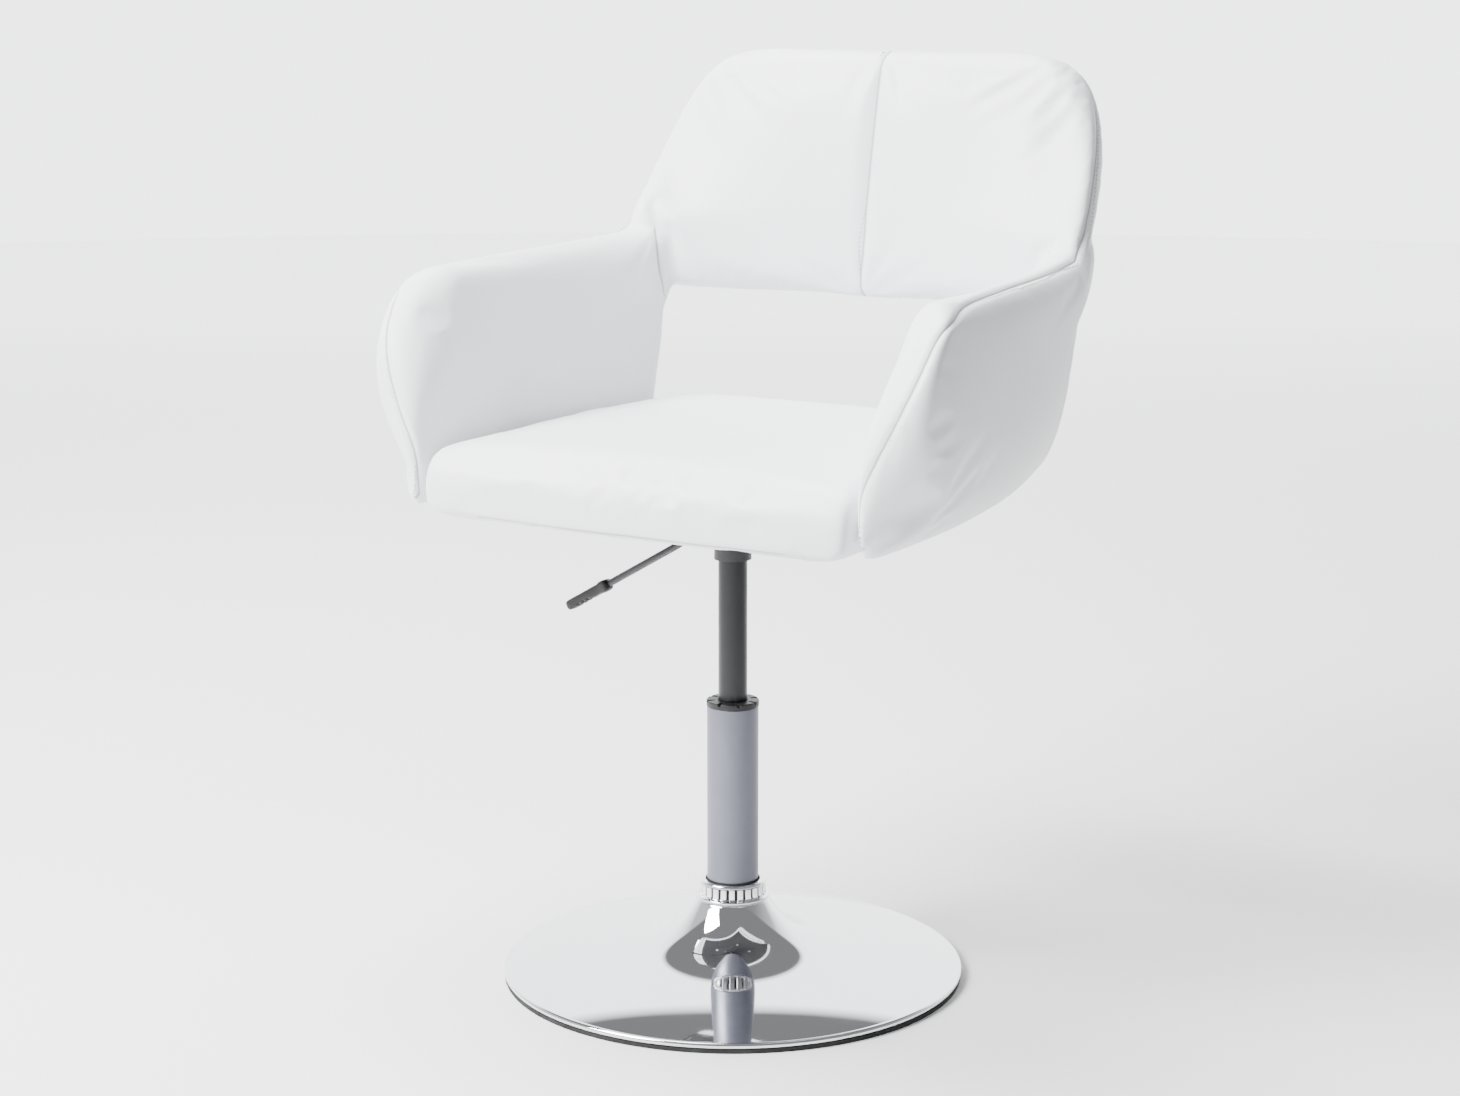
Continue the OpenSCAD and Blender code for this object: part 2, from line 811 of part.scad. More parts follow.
floor_pad();
base_weight();
base_shell();
hub_sleeve();
collar_ring();
collar_seal();
standpipe();
guide_bush();
end_plate();
lower_race();
bearing_balls();
ball_cage();
upper_race();
retaining_clip();
rubber_buffer();
piston_rod();
piston();
piston_seal();
pressure_tube();
rod_gland();
valve_body();
release_pin();
socket_cone();
lift_plate();
lever_pin();
lever_hub();
lever_rod();
lever_grip();
mounting_screws();
washers();
t_nuts();
seat_board();
dust_cover();
staples();
rail_blocks();
cross_rails();
left_arm_frame();
right_arm_frame();
back_frame();
seat_pad();
left_arm_pad();
right_arm_pad();
back_pad();
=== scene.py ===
"""Upholstered tub chair with arms on a gas lift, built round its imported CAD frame.

The origin is on the floor on the column's axis, +Z is up and the sitter faces -Y. Lengths are in metres.
"""

import json
import logging
import math
from dataclasses import dataclass, field
from enum import Enum
from typing import Any, Sequence

import bpy
import numpy as np
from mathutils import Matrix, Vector
from mathutils.bvhtree import BVHTree


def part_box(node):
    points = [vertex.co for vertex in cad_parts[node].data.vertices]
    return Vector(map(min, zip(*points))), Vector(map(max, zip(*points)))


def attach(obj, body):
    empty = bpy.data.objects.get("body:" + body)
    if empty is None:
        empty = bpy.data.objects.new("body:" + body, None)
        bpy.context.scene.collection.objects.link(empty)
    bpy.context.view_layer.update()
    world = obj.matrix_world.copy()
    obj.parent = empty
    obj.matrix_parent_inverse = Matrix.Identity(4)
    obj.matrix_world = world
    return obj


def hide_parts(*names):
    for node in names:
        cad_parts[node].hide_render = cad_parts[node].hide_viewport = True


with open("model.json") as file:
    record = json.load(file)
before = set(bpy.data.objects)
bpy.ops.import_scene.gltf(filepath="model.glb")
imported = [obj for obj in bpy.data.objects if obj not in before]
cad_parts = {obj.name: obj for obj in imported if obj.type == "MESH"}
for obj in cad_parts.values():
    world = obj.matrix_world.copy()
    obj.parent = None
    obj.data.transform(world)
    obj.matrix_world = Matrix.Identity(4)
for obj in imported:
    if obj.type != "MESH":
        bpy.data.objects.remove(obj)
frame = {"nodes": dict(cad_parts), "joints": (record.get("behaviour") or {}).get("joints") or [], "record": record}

LOG = logging.getLogger("tub_chair")
MM = 0.001
TURN = 2 * math.pi

Array = np.ndarray
Object = bpy.types.Object


class Body(Enum):
    """The rigid bodies that pieces ride on."""

    BASE = "base"
    SEAT = "seat"
    LEVER = "lever"


# ---------------------------------------------------------------- meshes


def unit(v: Array) -> Array:
    """Vectors along the last axis, each divided by its own length."""
    return v / np.maximum(np.linalg.norm(v, axis=-1, keepdims=True), 1e-12)


def smooth_step(low: float, high: float, x: Array) -> Array:
    """0 below low, 1 above high, and 3s^2 - 2s^3 between them, with s the share of the way."""
    s = np.clip((x - low) / (high - low), 0, 1)
    return s * s * (3 - 2 * s)


def grid_quads(rows: int, cols: int, wrap_rows: bool = False, wrap_cols: bool = False) -> Array:
    """Four-cornered faces that join neighbours on a grid of points.

    Args:
        rows: Number of rows of points.
        cols: Number of points in a row.
        wrap_rows: Whether the last row joins the first.
        wrap_cols: Whether each row closes on itself.

    Returns:
        An array of point numbers, one row of four for each face.
    """
    i, j = np.meshgrid(np.arange(rows - (not wrap_rows)), np.arange(cols - (not wrap_cols)), indexing="ij")
    up, right = (i + 1) % rows, (j + 1) % cols
    return np.stack([i * cols + j, i * cols + right, up * cols + right, up * cols + j], -1).reshape(-1, 4)


def put_mesh(name: str, points: Array, faces: Array | list, smooth: bool = True) -> Object:
    """Makes a mesh object at the origin.

    Args:
        name: The piece's name.
        points: Places of the points, one row of three each.
        faces: Point numbers of each face.
        smooth: Whether the faces are shaded smooth.

    Returns:
        The new object, linked to the scene.
    """
    mesh = bpy.data.meshes.new(name)
    mesh.from_pydata(points.reshape(-1, 3), [], faces.tolist() if isinstance(faces, np.ndarray) else faces)
    mesh.polygons.foreach_set("use_smooth", np.full(len(mesh.polygons), smooth))
    mesh.update()
    piece = bpy.data.objects.new(name, mesh)
    bpy.context.scene.collection.objects.link(piece)
    return piece


def points_of(piece: Object) -> Array:
    """The places of a mesh object's points, one row of three each.

    Args:
        piece: The mesh object.

    Returns:
        One row of x, y and z for each point.
    """
    flat = np.empty(len(piece.data.vertices) * 3)
    piece.data.vertices.foreach_get("co", flat)
    return flat.reshape(-1, 3)


def move_points(piece: Object, points: Array) -> None:
    """Puts a mesh object's points at new places."""
    piece.data.vertices.foreach_set("co", points.ravel())
    piece.data.update()


def normals_of(piece: Object) -> Array:
    """The unit normals at a mesh object's points.

    Args:
        piece: The mesh object.

    Returns:
        One unit row of x, y and z for each point.
    """
    flat = np.empty(len(piece.data.vertices) * 3)
    piece.data.vertex_normals.foreach_get("vector", flat)
    return flat.reshape(-1, 3)


def set_attribute(piece: Object, name: str, values: Array) -> None:
    """Stores one number for each point of a mesh object."""
    layer = piece.data.attributes.new(name, "FLOAT", "POINT")
    layer.data.foreach_set("value", values.astype(np.float32).ravel())


def bake_modifiers(piece: Object) -> None:
    """Replaces a piece's mesh by the shape that its modifiers give, and removes them.

    Args:
        piece: The mesh object, whose modifiers are live.
    """
    graph = bpy.context.evaluated_depsgraph_get()
    mesh = bpy.data.meshes.new_from_object(piece.evaluated_get(graph))
    piece.modifiers.clear()
    piece.data = mesh
    mesh.polygons.foreach_set("use_smooth", np.full(len(mesh.polygons), True))
    mesh.update()


def revolve(name: str, outline: Array, sides: int = 192) -> Object:
    """A closed round piece: an outline of (radius, height) carried once round the Z axis.

    Each point of the outline goes to (radius cos a, radius sin a, height) for sides equal angles a. The
    outline runs anticlockwise with the radius to the right. The faces come out pointing inwards, a known
    fault of this script, which nothing puts right.

    Args:
        name: The piece's name.
        outline: Rows of radius and height.
        sides: Number of points round the axis.

    Returns:
        The new piece.
    """
    angle = np.arange(sides)[:, None] * TURN / sides
    r, z = outline[None, :, 0], outline[None, :, 1]
    points = np.stack([r * np.cos(angle), r * np.sin(angle), z + 0 * angle], -1)
    return put_mesh(name, points, grid_quads(sides, len(outline), True, True))


def rounded(corners: Sequence[Sequence[float]], radius: float, steps: int = 5) -> Array:
    """A closed outline with its corners rounded.

    Args:
        corners: The corners of the outline, in order.
        radius: The rounding, shortened where a side has no room for it.
        steps: Number of points along each rounded corner.

    Returns:
        The outline's points. Each corner P becomes the quadratic curve from P + d u to P + d v that bends
        towards P, where u and v are the directions of its two sides and d is the rounding.
    """
    p = np.asarray(corners, float)
    before, after = np.roll(p, 1, 0) - p, np.roll(p, -1, 0) - p
    room = np.minimum(np.linalg.norm(before, axis=1), np.linalg.norm(after, axis=1)) * 0.45
    d = np.minimum(radius, room)[:, None]
    start, end = p + d * unit(before), p + d * unit(after)
    s = np.linspace(0, 1, steps)[None, :, None]
    curve = (1 - s) ** 2 * start[:, None] + 2 * s * (1 - s) * p[:, None] + s * s * end[:, None]
    return curve.reshape(-1, p.shape[1])


def spline(guides: Sequence[Sequence[float]], spacing: float) -> Array:
    """A smooth curve through guide points, resampled at equal steps.

    Args:
        guides: The points that the curve passes through, in order.
        spacing: The distance between two points of the result.

    Returns:
        Points on the Catmull-Rom curve: between guides b and c, with neighbours a and d, it is half of
        2b + (c - a)s + (2a - 5b + 4c - d)s^2 + (3b - a - 3c + d)s^3 for s from 0 to 1.
    """
    p = np.asarray(guides, float)
    p = np.vstack([2 * p[0] - p[1], p, 2 * p[-1] - p[-2]])
    s = np.linspace(0, 1, 24, endpoint=False)[None, :, None]
    a, b, c, d = (p[i : len(p) - 3 + i, None] for i in range(4))
    curve = (2 * b + (c - a) * s + (2 * a - 5 * b + 4 * c - d) * s**2 + (3 * b - a - 3 * c + d) * s**3) / 2
    dense = np.vstack([curve.reshape(-1, 3), p[-2]])
    length = np.concatenate([[0], np.cumsum(np.linalg.norm(np.diff(dense, axis=0), axis=1))])
    wanted = np.linspace(0, length[-1], max(2, round(length[-1] / spacing) + 1))
    return np.stack([np.interp(wanted, length, dense[:, i]) for i in range(3)], -1)


def tube(name: str, path: Array, radius: Array | float, sides: int = 20) -> Object:
    """A round bar along a path, closed by domed ends.

    Each ring of points lies square to the path at a distance radius from it. Two rings at each end shrink
    on a quarter circle to close the bar. The faces point inwards, as those of revolve do.

    Args:
        name: The piece's name.
        path: Rows of x, y and z along the bar's middle.
        radius: One radius, or one for each row of the path.
        sides: Number of points round each ring.

    Returns:
        The new piece.
    """
    along = unit(np.gradient(path, axis=0))
    side = unit(np.cross(along, [0.0, 1.0, 0.031]))
    up = np.cross(side, along)
    radii = np.broadcast_to(np.asarray(radius, float), len(path))
    bend = np.array([0.05, 0.5, 0.87])
    reach = np.sqrt(1 - bend**2)
    centre = np.vstack([path[0] - along[0] * radii[0] * reach[:, None], path,
                        path[-1] + along[-1] * radii[-1] * reach[::-1, None]])
    rings = np.concatenate([radii[0] * bend, radii, radii[-1] * bend[::-1]])
    side = np.vstack([side[[0] * 3], side, side[[-1] * 3]])
    up = np.vstack([up[[0] * 3], up, up[[-1] * 3]])
    angle = np.arange(sides)[None, :, None] * TURN / sides
    points = centre[:, None] + rings[:, None, None] * (side[:, None] * np.cos(angle) + up[:, None] * np.sin(angle))
    count = len(centre)
    faces = grid_quads(count, sides, wrap_cols=True).tolist()
    faces += [list(range(sides))[::-1], list(range((count - 1) * sides, count * sides))]
    return put_mesh(name, points, faces)


# ---------------------------------------------------------------- shader nodes


class Num:
    """A number socket that adds Math nodes when it is used in an expression."""

    def __init__(self, tree: bpy.types.NodeTree, socket: Any) -> None:
        """Wraps an output socket of a node tree."""
        self.tree, self.socket = tree, socket

    def maths(self, operation: str, *values: "Num | float") -> "Num":
        """Adds a Math node with these inputs and returns its result.

        Args:
            operation: The node's operation.
            values: Its inputs in order, each a number or a socket.

        Returns:
            The node's result.
        """
        node = self.tree.nodes.new("ShaderNodeMath")
        node.operation = operation
        for slot, value in zip(node.inputs, values):
            if isinstance(value, Num):
                self.tree.links.new(value.socket, slot)
            else:
                slot.default_value = value
        return Num(self.tree, node.outputs[0])

    def __add__(self, other: "Num | float") -> "Num":
        """Sum."""
        return self.maths("ADD", self, other)

    __radd__ = __add__

    def __sub__(self, other: "Num | float") -> "Num":
        """Difference."""
        return self.maths("SUBTRACT", self, other)

    def __rsub__(self, other: float) -> "Num":
        """Difference from a plain number."""
        return self.maths("SUBTRACT", other, self)

    def __mul__(self, other: "Num | float") -> "Num":
        """Product."""
        return self.maths("MULTIPLY", self, other)

    __rmul__ = __mul__

    def __truediv__(self, other: "Num | float") -> "Num":
        """Quotient."""
        return self.maths("DIVIDE", self, other)

    def __pow__(self, other: "Num | float") -> "Num":
        """Power."""
        return self.maths("POWER", self, other)

    def size(self) -> "Num":
        """The number without its sign."""
        return self.maths("ABSOLUTE", self)

    def falloff(self, width: float) -> "Num":
        """1 at zero, falling to 0 in a bell curve of this width on both sides."""
        return self.maths("POWER", math.e, (self * (1 / width)) ** 2 * -1)

    def between(self, low: float, high: float) -> "Num":
        """0 at low and below, 1 at high and above, with a straight ramp between them.

        Args:
            low: The value that gives 0.
            high: The value that gives 1.

        Returns:
            The ramp's value.
        """
        node = self.tree.nodes.new("ShaderNodeMapRange")
        self.tree.links.new(self.socket, node.inputs["Value"])
        node.inputs["From Min"].default_value = low
        node.inputs["From Max"].default_value = high
        return Num(self.tree, node.outputs["Result"])


class Recipe:
    """A material that is being put together."""

    def __init__(self, name: str) -> None:
        """Starts a material with one Principled shader.

        Args:
            name: The material's name.
        """
        self.material = bpy.data.materials.new(name)
        self.material.use_nodes = True
        self.tree = self.material.node_tree
        self.shader = self.tree.nodes["Principled BSDF"]
        self.place = self.add("ShaderNodeTexCoord").outputs["Object"]

    def add(self, kind: str, settings: dict[str, Any] | None = None, **inputs: Any) -> Any:
        """Adds a node.

        Args:
            kind: The node's type.
            settings: Its settings, which are made first. "stops" holds a ramp's (place, colour) pairs.
            inputs: Values or links of its sockets, with underscores for spaces.

        Returns:
            The node.
        """
        node = self.tree.nodes.new(kind)
        for key, value in (settings or {}).items():
            if key == "stops":
                ramp = node.color_ramp.elements
                for _ in value[2:]:
                    ramp.new(0.5)
                for stop, (place, colour) in zip(ramp, value):
                    stop.position, stop.color = place, colour
            else:
                setattr(node, key, value)
        for key, value in inputs.items():
            self.feed(node, key.replace("_", " "), value)
        return node

    def feed(self, node: Any, socket: str, value: Any) -> None:
        """Sets an input socket to a value, or links it to a number or an output socket.

        Args:
            node: The node.
            socket: The name or number of its input socket.
            value: A plain value, a Num or an output socket.
        """
        slot = node.inputs[socket]
        if isinstance(value, Num):
            self.tree.links.new(value.socket, slot)
        elif isinstance(value, bpy.types.NodeSocket):
            self.tree.links.new(value, slot)
        else:
            slot.default_value = value

    def surface(self, **inputs: Any) -> None:
        """Sets or links sockets of the Principled shader, with underscores for spaces."""
        for key, value in inputs.items():
            self.feed(self.shader, key.replace("_", " "), value)

    def noise(self, scale: float, detail: float = 3.0, roughness: float = 0.5) -> Num:
        """A cloud pattern on the piece's own place, from 0 to 1, with scale patches to a metre."""
        node = self.add("ShaderNodeTexNoise", Vector=self.place, Scale=scale, Detail=detail, Roughness=roughness)
        return Num(self.tree, node.outputs["Fac"])

    def cells(self, scale: float, feature: str = "F1") -> Num:
        """A cell pattern on the piece's own place, with scale cells to a metre."""
        node = self.add("ShaderNodeTexVoronoi", {"feature": feature}, Vector=self.place, Scale=scale)
        return Num(self.tree, node.outputs["Distance"])

    def attribute(self, name: str) -> Num:
        """A number that the piece's mesh stores at its points."""
        return Num(self.tree, self.add("ShaderNodeAttribute", {"attribute_name": name}).outputs["Fac"])

    def axis(self, name: str) -> Num:
        """One coordinate of the piece's own place: X, Y or Z."""
        return Num(self.tree, self.add("ShaderNodeSeparateXYZ", Vector=self.place).outputs[name])

    def blend(self, share: Num | float, first: Any, second: Any) -> Any:
        """A colour between two others, as the output socket of a Mix node.

        Args:
            share: How much of the second colour.
            first: The colour at 0.
            second: The colour at 1.

        Returns:
            The Mix node's colour socket.
        """
        node = self.add("ShaderNodeMix", {"data_type": "RGBA"})
        self.feed(node, "Factor", share)
        for slot, value in ((node.inputs[6], first), (node.inputs[7], second)):
            if isinstance(value, bpy.types.NodeSocket):
                self.tree.links.new(value, slot)
            else:
                slot.default_value = value
        return node.outputs[2]

    def relief(self, height: Num, depth: float, strength: float = 1.0) -> None:
        """Feeds the shader's normal from a height that runs from 0 to 1 over depth metres."""
        bump = self.add("ShaderNodeBump", Height=height, Distance=depth, Strength=strength)
        self.surface(Normal=bump.outputs["Normal"])


def colour(r: float, g: float, b: float) -> tuple[float, float, float, float]:
    """An opaque colour."""
    return (r, g, b, 1.0)


@dataclass(frozen=True)
class Upholstery:
    """Smooth white coated cloth with a fine grain, sewn seams and a soft gloss."""

    tint: tuple = colour(0.82, 0.835, 0.86)
    shade: tuple = colour(0.765, 0.78, 0.81)
    # Colour of the painted shade in the seam grooves.
    painted_seam_shade: tuple = colour(0.36, 0.365, 0.38)
    grain: float = 1250.0

    def material(self) -> bpy.types.Material:
        """Grain from two cell patterns, slow cloudy creases, and a groove wherever a seam runs, darkened in colour by
        painted shade.

        Returns:
            The finished material.
        """
        r = Recipe("white_upholstery")
        pores = r.cells(self.grain).between(0.05, 0.55)
        pebbles = r.cells(self.grain * 0.55, "SMOOTH_F1").between(0.0, 0.7)
        clouds = r.noise(9.0, 4.0, 0.55)
        creases = r.noise(38.0, 2.0, 0.4)
        groove = r.attribute("seam_side").falloff(1.1 * MM) * r.attribute("seam_near")
        pucker = r.attribute("pucker")
        tone = r.blend(clouds.between(0.35, 0.7) * 0.5, self.tint, self.shade)
        # The colour darkens along each seam groove: painted shade where the skin sinks.
        tone = r.blend(groove * 0.85, tone, self.painted_seam_shade)
        height = pores * 0.05 + pebbles * 0.05 + creases * 0.35 - groove * 0.9 + pucker * 0.5
        r.surface(Base_Color=tone, Roughness=0.4 + clouds * 0.12 + groove * 0.2, Specular_IOR_Level=0.5,
                  Coat_Weight=0.12, Coat_Roughness=0.35)
        r.relief(height, 0.9 * MM, 0.75)
        return r.material


@dataclass(frozen=True)
class Chrome:
    """Bright plated metal with a faint haze of fine wiping marks."""

    name: str = "mirror_chrome"
    tint: tuple = colour(0.80, 0.81, 0.83)
    polish: float = 0.03

    def material(self) -> bpy.types.Material:
        """Metal whose roughness rises a little in cloudy patches, over an almost flat ripple.

        Returns:
            The finished material.
        """
        r = Recipe(self.name)
        haze = r.noise(14.0, 5.0, 0.6)
        ripple = r.noise(7.0, 1.0)
        r.surface(Base_Color=r.blend(haze * 0.35, self.tint, colour(0.72, 0.735, 0.76)), Metallic=1.0,
                  Roughness=self.polish + haze.between(0.45, 0.8) * 0.035)
        r.relief(ripple, 0.25 * MM, 0.35)
        return r.material


@dataclass(frozen=True)
class RibbedChrome(Chrome):
    """The same plating on the collar, dull in its grooves and darkened there by painted shade."""

    name: str = "ribbed_chrome"

    def material(self) -> bpy.types.Material:
        """The plain plating's colour and roughness, changed wherever the mesh stores a groove; the darker colour
        there is painted shade.

        Returns:
            The finished material.
        """
        r = Recipe(self.name)
        groove, haze = r.attribute("groove"), r.noise(60.0, 4.0)
        # Base colour goes nearly black in the grooves: painted shade.
        r.surface(Base_Color=r.blend(groove, self.tint, colour(0.018, 0.018, 0.02)), Metallic=1.0 - groove * 0.6,
                  Roughness=self.polish + groove * 0.4 + haze * 0.03)
        r.relief(haze, 0.1 * MM, 0.3)
        return r.material


@dataclass(frozen=True)
class Coated:
    """Painted, plated or bare metal, with a fine speckle and lighter worn patches."""

    name: str
    tint: tuple
    worn: tuple
    metallic: float = 0.0
    roughness: float = 0.4
    speckle: float = 1400.0
    depth: float = 0.06 * MM

    def material(self) -> bpy.types.Material:
        """Cloudy wear between two tones, with a speckled surface.

        Returns:
            The finished material.
        """
        r = Recipe(self.name)
        wear = r.noise(22.0, 5.0, 0.62).between(0.42, 0.72)
        dots = r.noise(self.speckle, 2.0)
        r.surface(Base_Color=r.blend(wear, self.tint, self.worn), Metallic=self.metallic,
                  Roughness=self.roughness + wear * 0.1 + dots * 0.08)
        r.relief(dots, self.depth, 0.6)
        return r.material


@dataclass(frozen=True)
class Moulded:
    """Moulded plastic or rubber with a spark-eroded texture."""

    name: str
    tint: tuple
    roughness: float = 0.45
    texture: float = 900.0

    def material(self) -> bpy.types.Material:
        """A matt cell texture with slightly paler high spots.

        Returns:
            The finished material.
        """
        r = Recipe(self.name)
        pits = r.cells(self.texture).between(0.0, 0.6)
        dust = r.noise(30.0, 4.0).between(0.5, 0.85)
        pale = tuple(min(1.0, c * 1.9 + 0.004) for c in self.tint[:3]) + (1.0,)
        r.surface(Base_Color=r.blend(dust, self.tint, pale), Roughness=self.roughness + pits * 0.12,
                  Specular_IOR_Level=0.35)
        r.relief(pits, 0.08 * MM, 0.7)
        return r.material


@dataclass(frozen=True)
class Plywood:
    """Birch plywood: long grain on the faces and thin plies on the edges."""

    name: str = "birch_ply"

    def material(self) -> bpy.types.Material:
        """Stretched noise for the grain, and a wave over the height for the plies.

        Returns:
            The finished material.
        """
        r = Recipe(self.name)
        stretch = r.add("ShaderNodeMapping", Vector=r.place, Scale=(6.0, 90.0, 6.0))
        grain = Num(r.tree, r.add("ShaderNodeTexNoise", Vector=stretch.outputs[0], Scale=2.0, Detail=6.0).outputs[0])
        plies = (r.axis("Z") * (TURN / (2.4 * MM))).maths("SINE", r.axis("Z") * (TURN / (2.4 * MM)))
        tone = r.blend(grain.between(0.3, 0.7), colour(0.62, 0.45, 0.27), colour(0.48, 0.32, 0.17))
        r.surface(Base_Color=r.blend(plies.between(0.2, 1.0) * 0.4, tone, colour(0.3, 0.19, 0.1)), Roughness=0.62)
        r.relief(grain, 0.2 * MM, 0.5)
        return r.material


@dataclass(frozen=True)
class Felted:
    """Thin black non-woven cloth, pressed in a fine diamond pattern."""

    name: str = "black_cover_cloth"

    def material(self) -> bpy.types.Material:
        """Fibre noise with a grid of pressed dots.

        Returns:
            The finished material.
        """
        r = Recipe(self.name)
        dots = (r.axis("X") * (TURN / (2.2 * MM))).maths("SINE", r.axis("X") * (TURN / (2.2 * MM)))
        rows = (r.axis("Y") * (TURN / (2.2 * MM))).maths("SINE", r.axis("Y") * (TURN / (2.2 * MM)))
        fibres = r.noise(650.0, 6.0, 0.7)
        r.surface(Base_Color=r.blend(fibres, colour(0.012, 0.012, 0.013), colour(0.035, 0.035, 0.037)),
                  Roughness=0.85,
                  Sheen_Weight=0.25)
        r.relief(dots * rows * 0.3 + fibres * 0.7, 0.2 * MM, 0.8)
        return r.material


@dataclass(frozen=True)
class Thread:
    """White bonded sewing thread, twisted from three plies."""

    name: str = "sewing_thread"

    def material(self) -> bpy.types.Material:
        """Slanted bands along the thread, from all three coordinates, darker between the plies with painted shade.

        Returns:
            The finished material.
        """
        r = Recipe(self.name)
        slant = r.axis("X") + r.axis("Y") + r.axis("Z") * 1.3
        twist = (slant * (TURN / (0.9 * MM))).maths("SINE", slant * (TURN / (0.9 * MM)))
        # The colour runs from mid grey to darker grey along the twist: painted shade between the twisted plies.
        r.surface(Base_Color=r.blend(twist.between(-1.0, 1.0), colour(0.34, 0.345, 0.36), colour(0.56, 0.565, 0.58)),
                  Roughness=0.5)
        r.relief(twist, 0.1 * MM, 0.6)
        return r.material


class Finishes:
    """Every finish of the chair, made once and kept by name."""

    def __init__(self) -> None:
        """Makes the finishes."""
        recipes = [
            Chrome(),
            RibbedChrome(),
            Coated("satin_grey_tube", colour(0.15, 0.155, 0.192), colour(0.175, 0.18, 0.216), 0.4, 0.34),
            Coated("charcoal_tube", colour(0.012, 0.0125, 0.014), colour(0.017, 0.0175, 0.0195), 0.4, 0.3),
            Coated("black_steel", colour(0.014, 0.014, 0.016), colour(0.03, 0.03, 0.033), 0.0, 0.38),
            Coated("frame_steel", colour(0.02, 0.02, 0.024), colour(0.07, 0.07, 0.075), 0.3, 0.55),
            Coated("zinc_steel", colour(0.56, 0.57, 0.59), colour(0.42, 0.43, 0.45), 1.0, 0.32),
            Coated("raw_steel", colour(0.34, 0.34, 0.35), colour(0.22, 0.21, 0.2), 1.0, 0.45),
            Coated("raw_iron", colour(0.09, 0.09, 0.095), colour(0.14, 0.12, 0.11), 0.6, 0.7, 500.0, 0.3 * MM),
            Coated("bearing_steel", colour(0.68, 0.69, 0.71), colour(0.6, 0.61, 0.63), 1.0, 0.14),
            Coated("cage_brass", colour(0.66, 0.5, 0.22), colour(0.5, 0.36, 0.15), 1.0, 0.3),
            Coated("valve_alloy", colour(0.55, 0.53, 0.5), colour(0.45, 0.43, 0.4), 1.0, 0.36),
            Moulded("black_plastic", colour(0.013, 0.013, 0.014), 0.36),
            Moulded("black_rubber", colour(0.017, 0.017, 0.017), 0.68, 700.0),
            Plywood(),
            Felted(),
            Thread(),
        ]
        self.made = {recipe.name: recipe.material() for recipe in recipes}
        self.made["white_leather"] = Upholstery().material()

    def dress(self, piece: Object, finish: str) -> Object:
        """Gives a piece its finish.

        Args:
            piece: The piece.
            finish: The finish's name.

        Returns:
            The same piece.
        """
        piece.data.materials.clear()
        piece.data.materials.append(self.made[finish])
        return piece

    def dress_frame(self) -> None:
        """Gives every carried part of the frame the finish of its slot in the record."""
        other = {"plywood": "birch_ply", "black_fabric": "black_cover_cloth"}
        for part in frame["record"]["subparts"]:
            node = frame["nodes"][part["node"]]
            finish = other.get(part["material_slot"], part["material_slot"])
            for holder in node.material_slots:
                holder.material = self.made[finish]


# ---------------------------------------------------------------- upholstery


def hold(x: Array) -> Array:
    """-1 at -0.5 and below, 1 at 0.5 and above, and the sine of pi x between them."""
    return np.sin(np.clip(2 * x, -1, 1) * math.pi / 2)


def soft_box(half_w: Array, half_h: Array, radius: Array, angle: Array) -> tuple[Array, Array]:
    """A rectangle with round corners and slightly crowned sides, as offsets across and up.

    Each point is a place on a smaller rectangle plus a point on a circle: across is
    (half_w - radius) S(cos a) + radius cos a, and up is the same with the sine, where S(x) is the sine of a
    quarter turn times 2x held between -1 and 1. The corners are where both S reach their ends.

    Args:
        half_w: Half the width.
        half_h: Half the height.
        radius: The corners' radius.
        angle: The angle a of each point.

    Returns:
        The offsets across and up.
    """
    c, s = np.cos(angle), np.sin(angle)
    radius = np.minimum(radius, np.minimum(half_w, half_h) * 0.98)
    return (half_w - radius) * hold(c) + radius * c, (half_h - radius) * hold(s) + radius * s


@dataclass
class Stations:
    """Where the rings of a padded form lie: along it, and how far each is drawn in to close an end."""

    edge: float
    inner: float
    count: int = 60
    along: Array = field(init=False)
    inset: Array = field(init=False)
    lead: Array = field(init=False)
    trail: Array = field(init=False)

    def __post_init__(self) -> None:
        """Works out the rings.

        The ends are rounded on a quarter circle of radius edge, so at an inset i the ring moves out by
        sqrt(edge^2 - (edge - i)^2), and then the end is filled by rings drawn in as far as inner.
        """
        bend = np.linspace(0, math.pi / 2, 9)[1:]
        inset = np.concatenate([self.edge * (1 - np.cos(bend)), np.linspace(self.edge, self.inner, 12)[1:]])
        out = np.concatenate([self.edge * np.sin(bend), np.full(11, self.edge)])
        n = len(inset)
        self.along = np.concatenate([np.zeros(n), np.linspace(0, 1, self.count), np.ones(n)])[:, None]
        self.inset = np.concatenate([inset[::-1], np.zeros(self.count), inset])[:, None]
        self.lead = np.concatenate([out[::-1], np.zeros(self.count + n)])[:, None]
        self.trail = np.concatenate([np.zeros(self.count + n), out])[:, None]


def close_form(name: str, points: Array) -> Object:
    """A closed mesh from rings of points, its two ends filled across.

    Args:
        name: The piece's name.
        points: Rings of points, as rings by points by three.

    Returns:
        The new piece.
    """
    rows, cols = points.shape[:2]
    faces = grid_quads(rows, cols, wrap_cols=True).tolist()
    half = cols // 2
    for ring in (0, (rows - 1) * cols):
        faces += [[ring + i, ring + i + 1, ring + cols - i - 1, ring + (cols - i) % cols] for i in range(1, half - 1)]
        faces += [[ring, ring + 1, ring + cols - 1], [ring + half - 1, ring + half, ring + half + 1]]
    return put_mesh(name, points, faces)


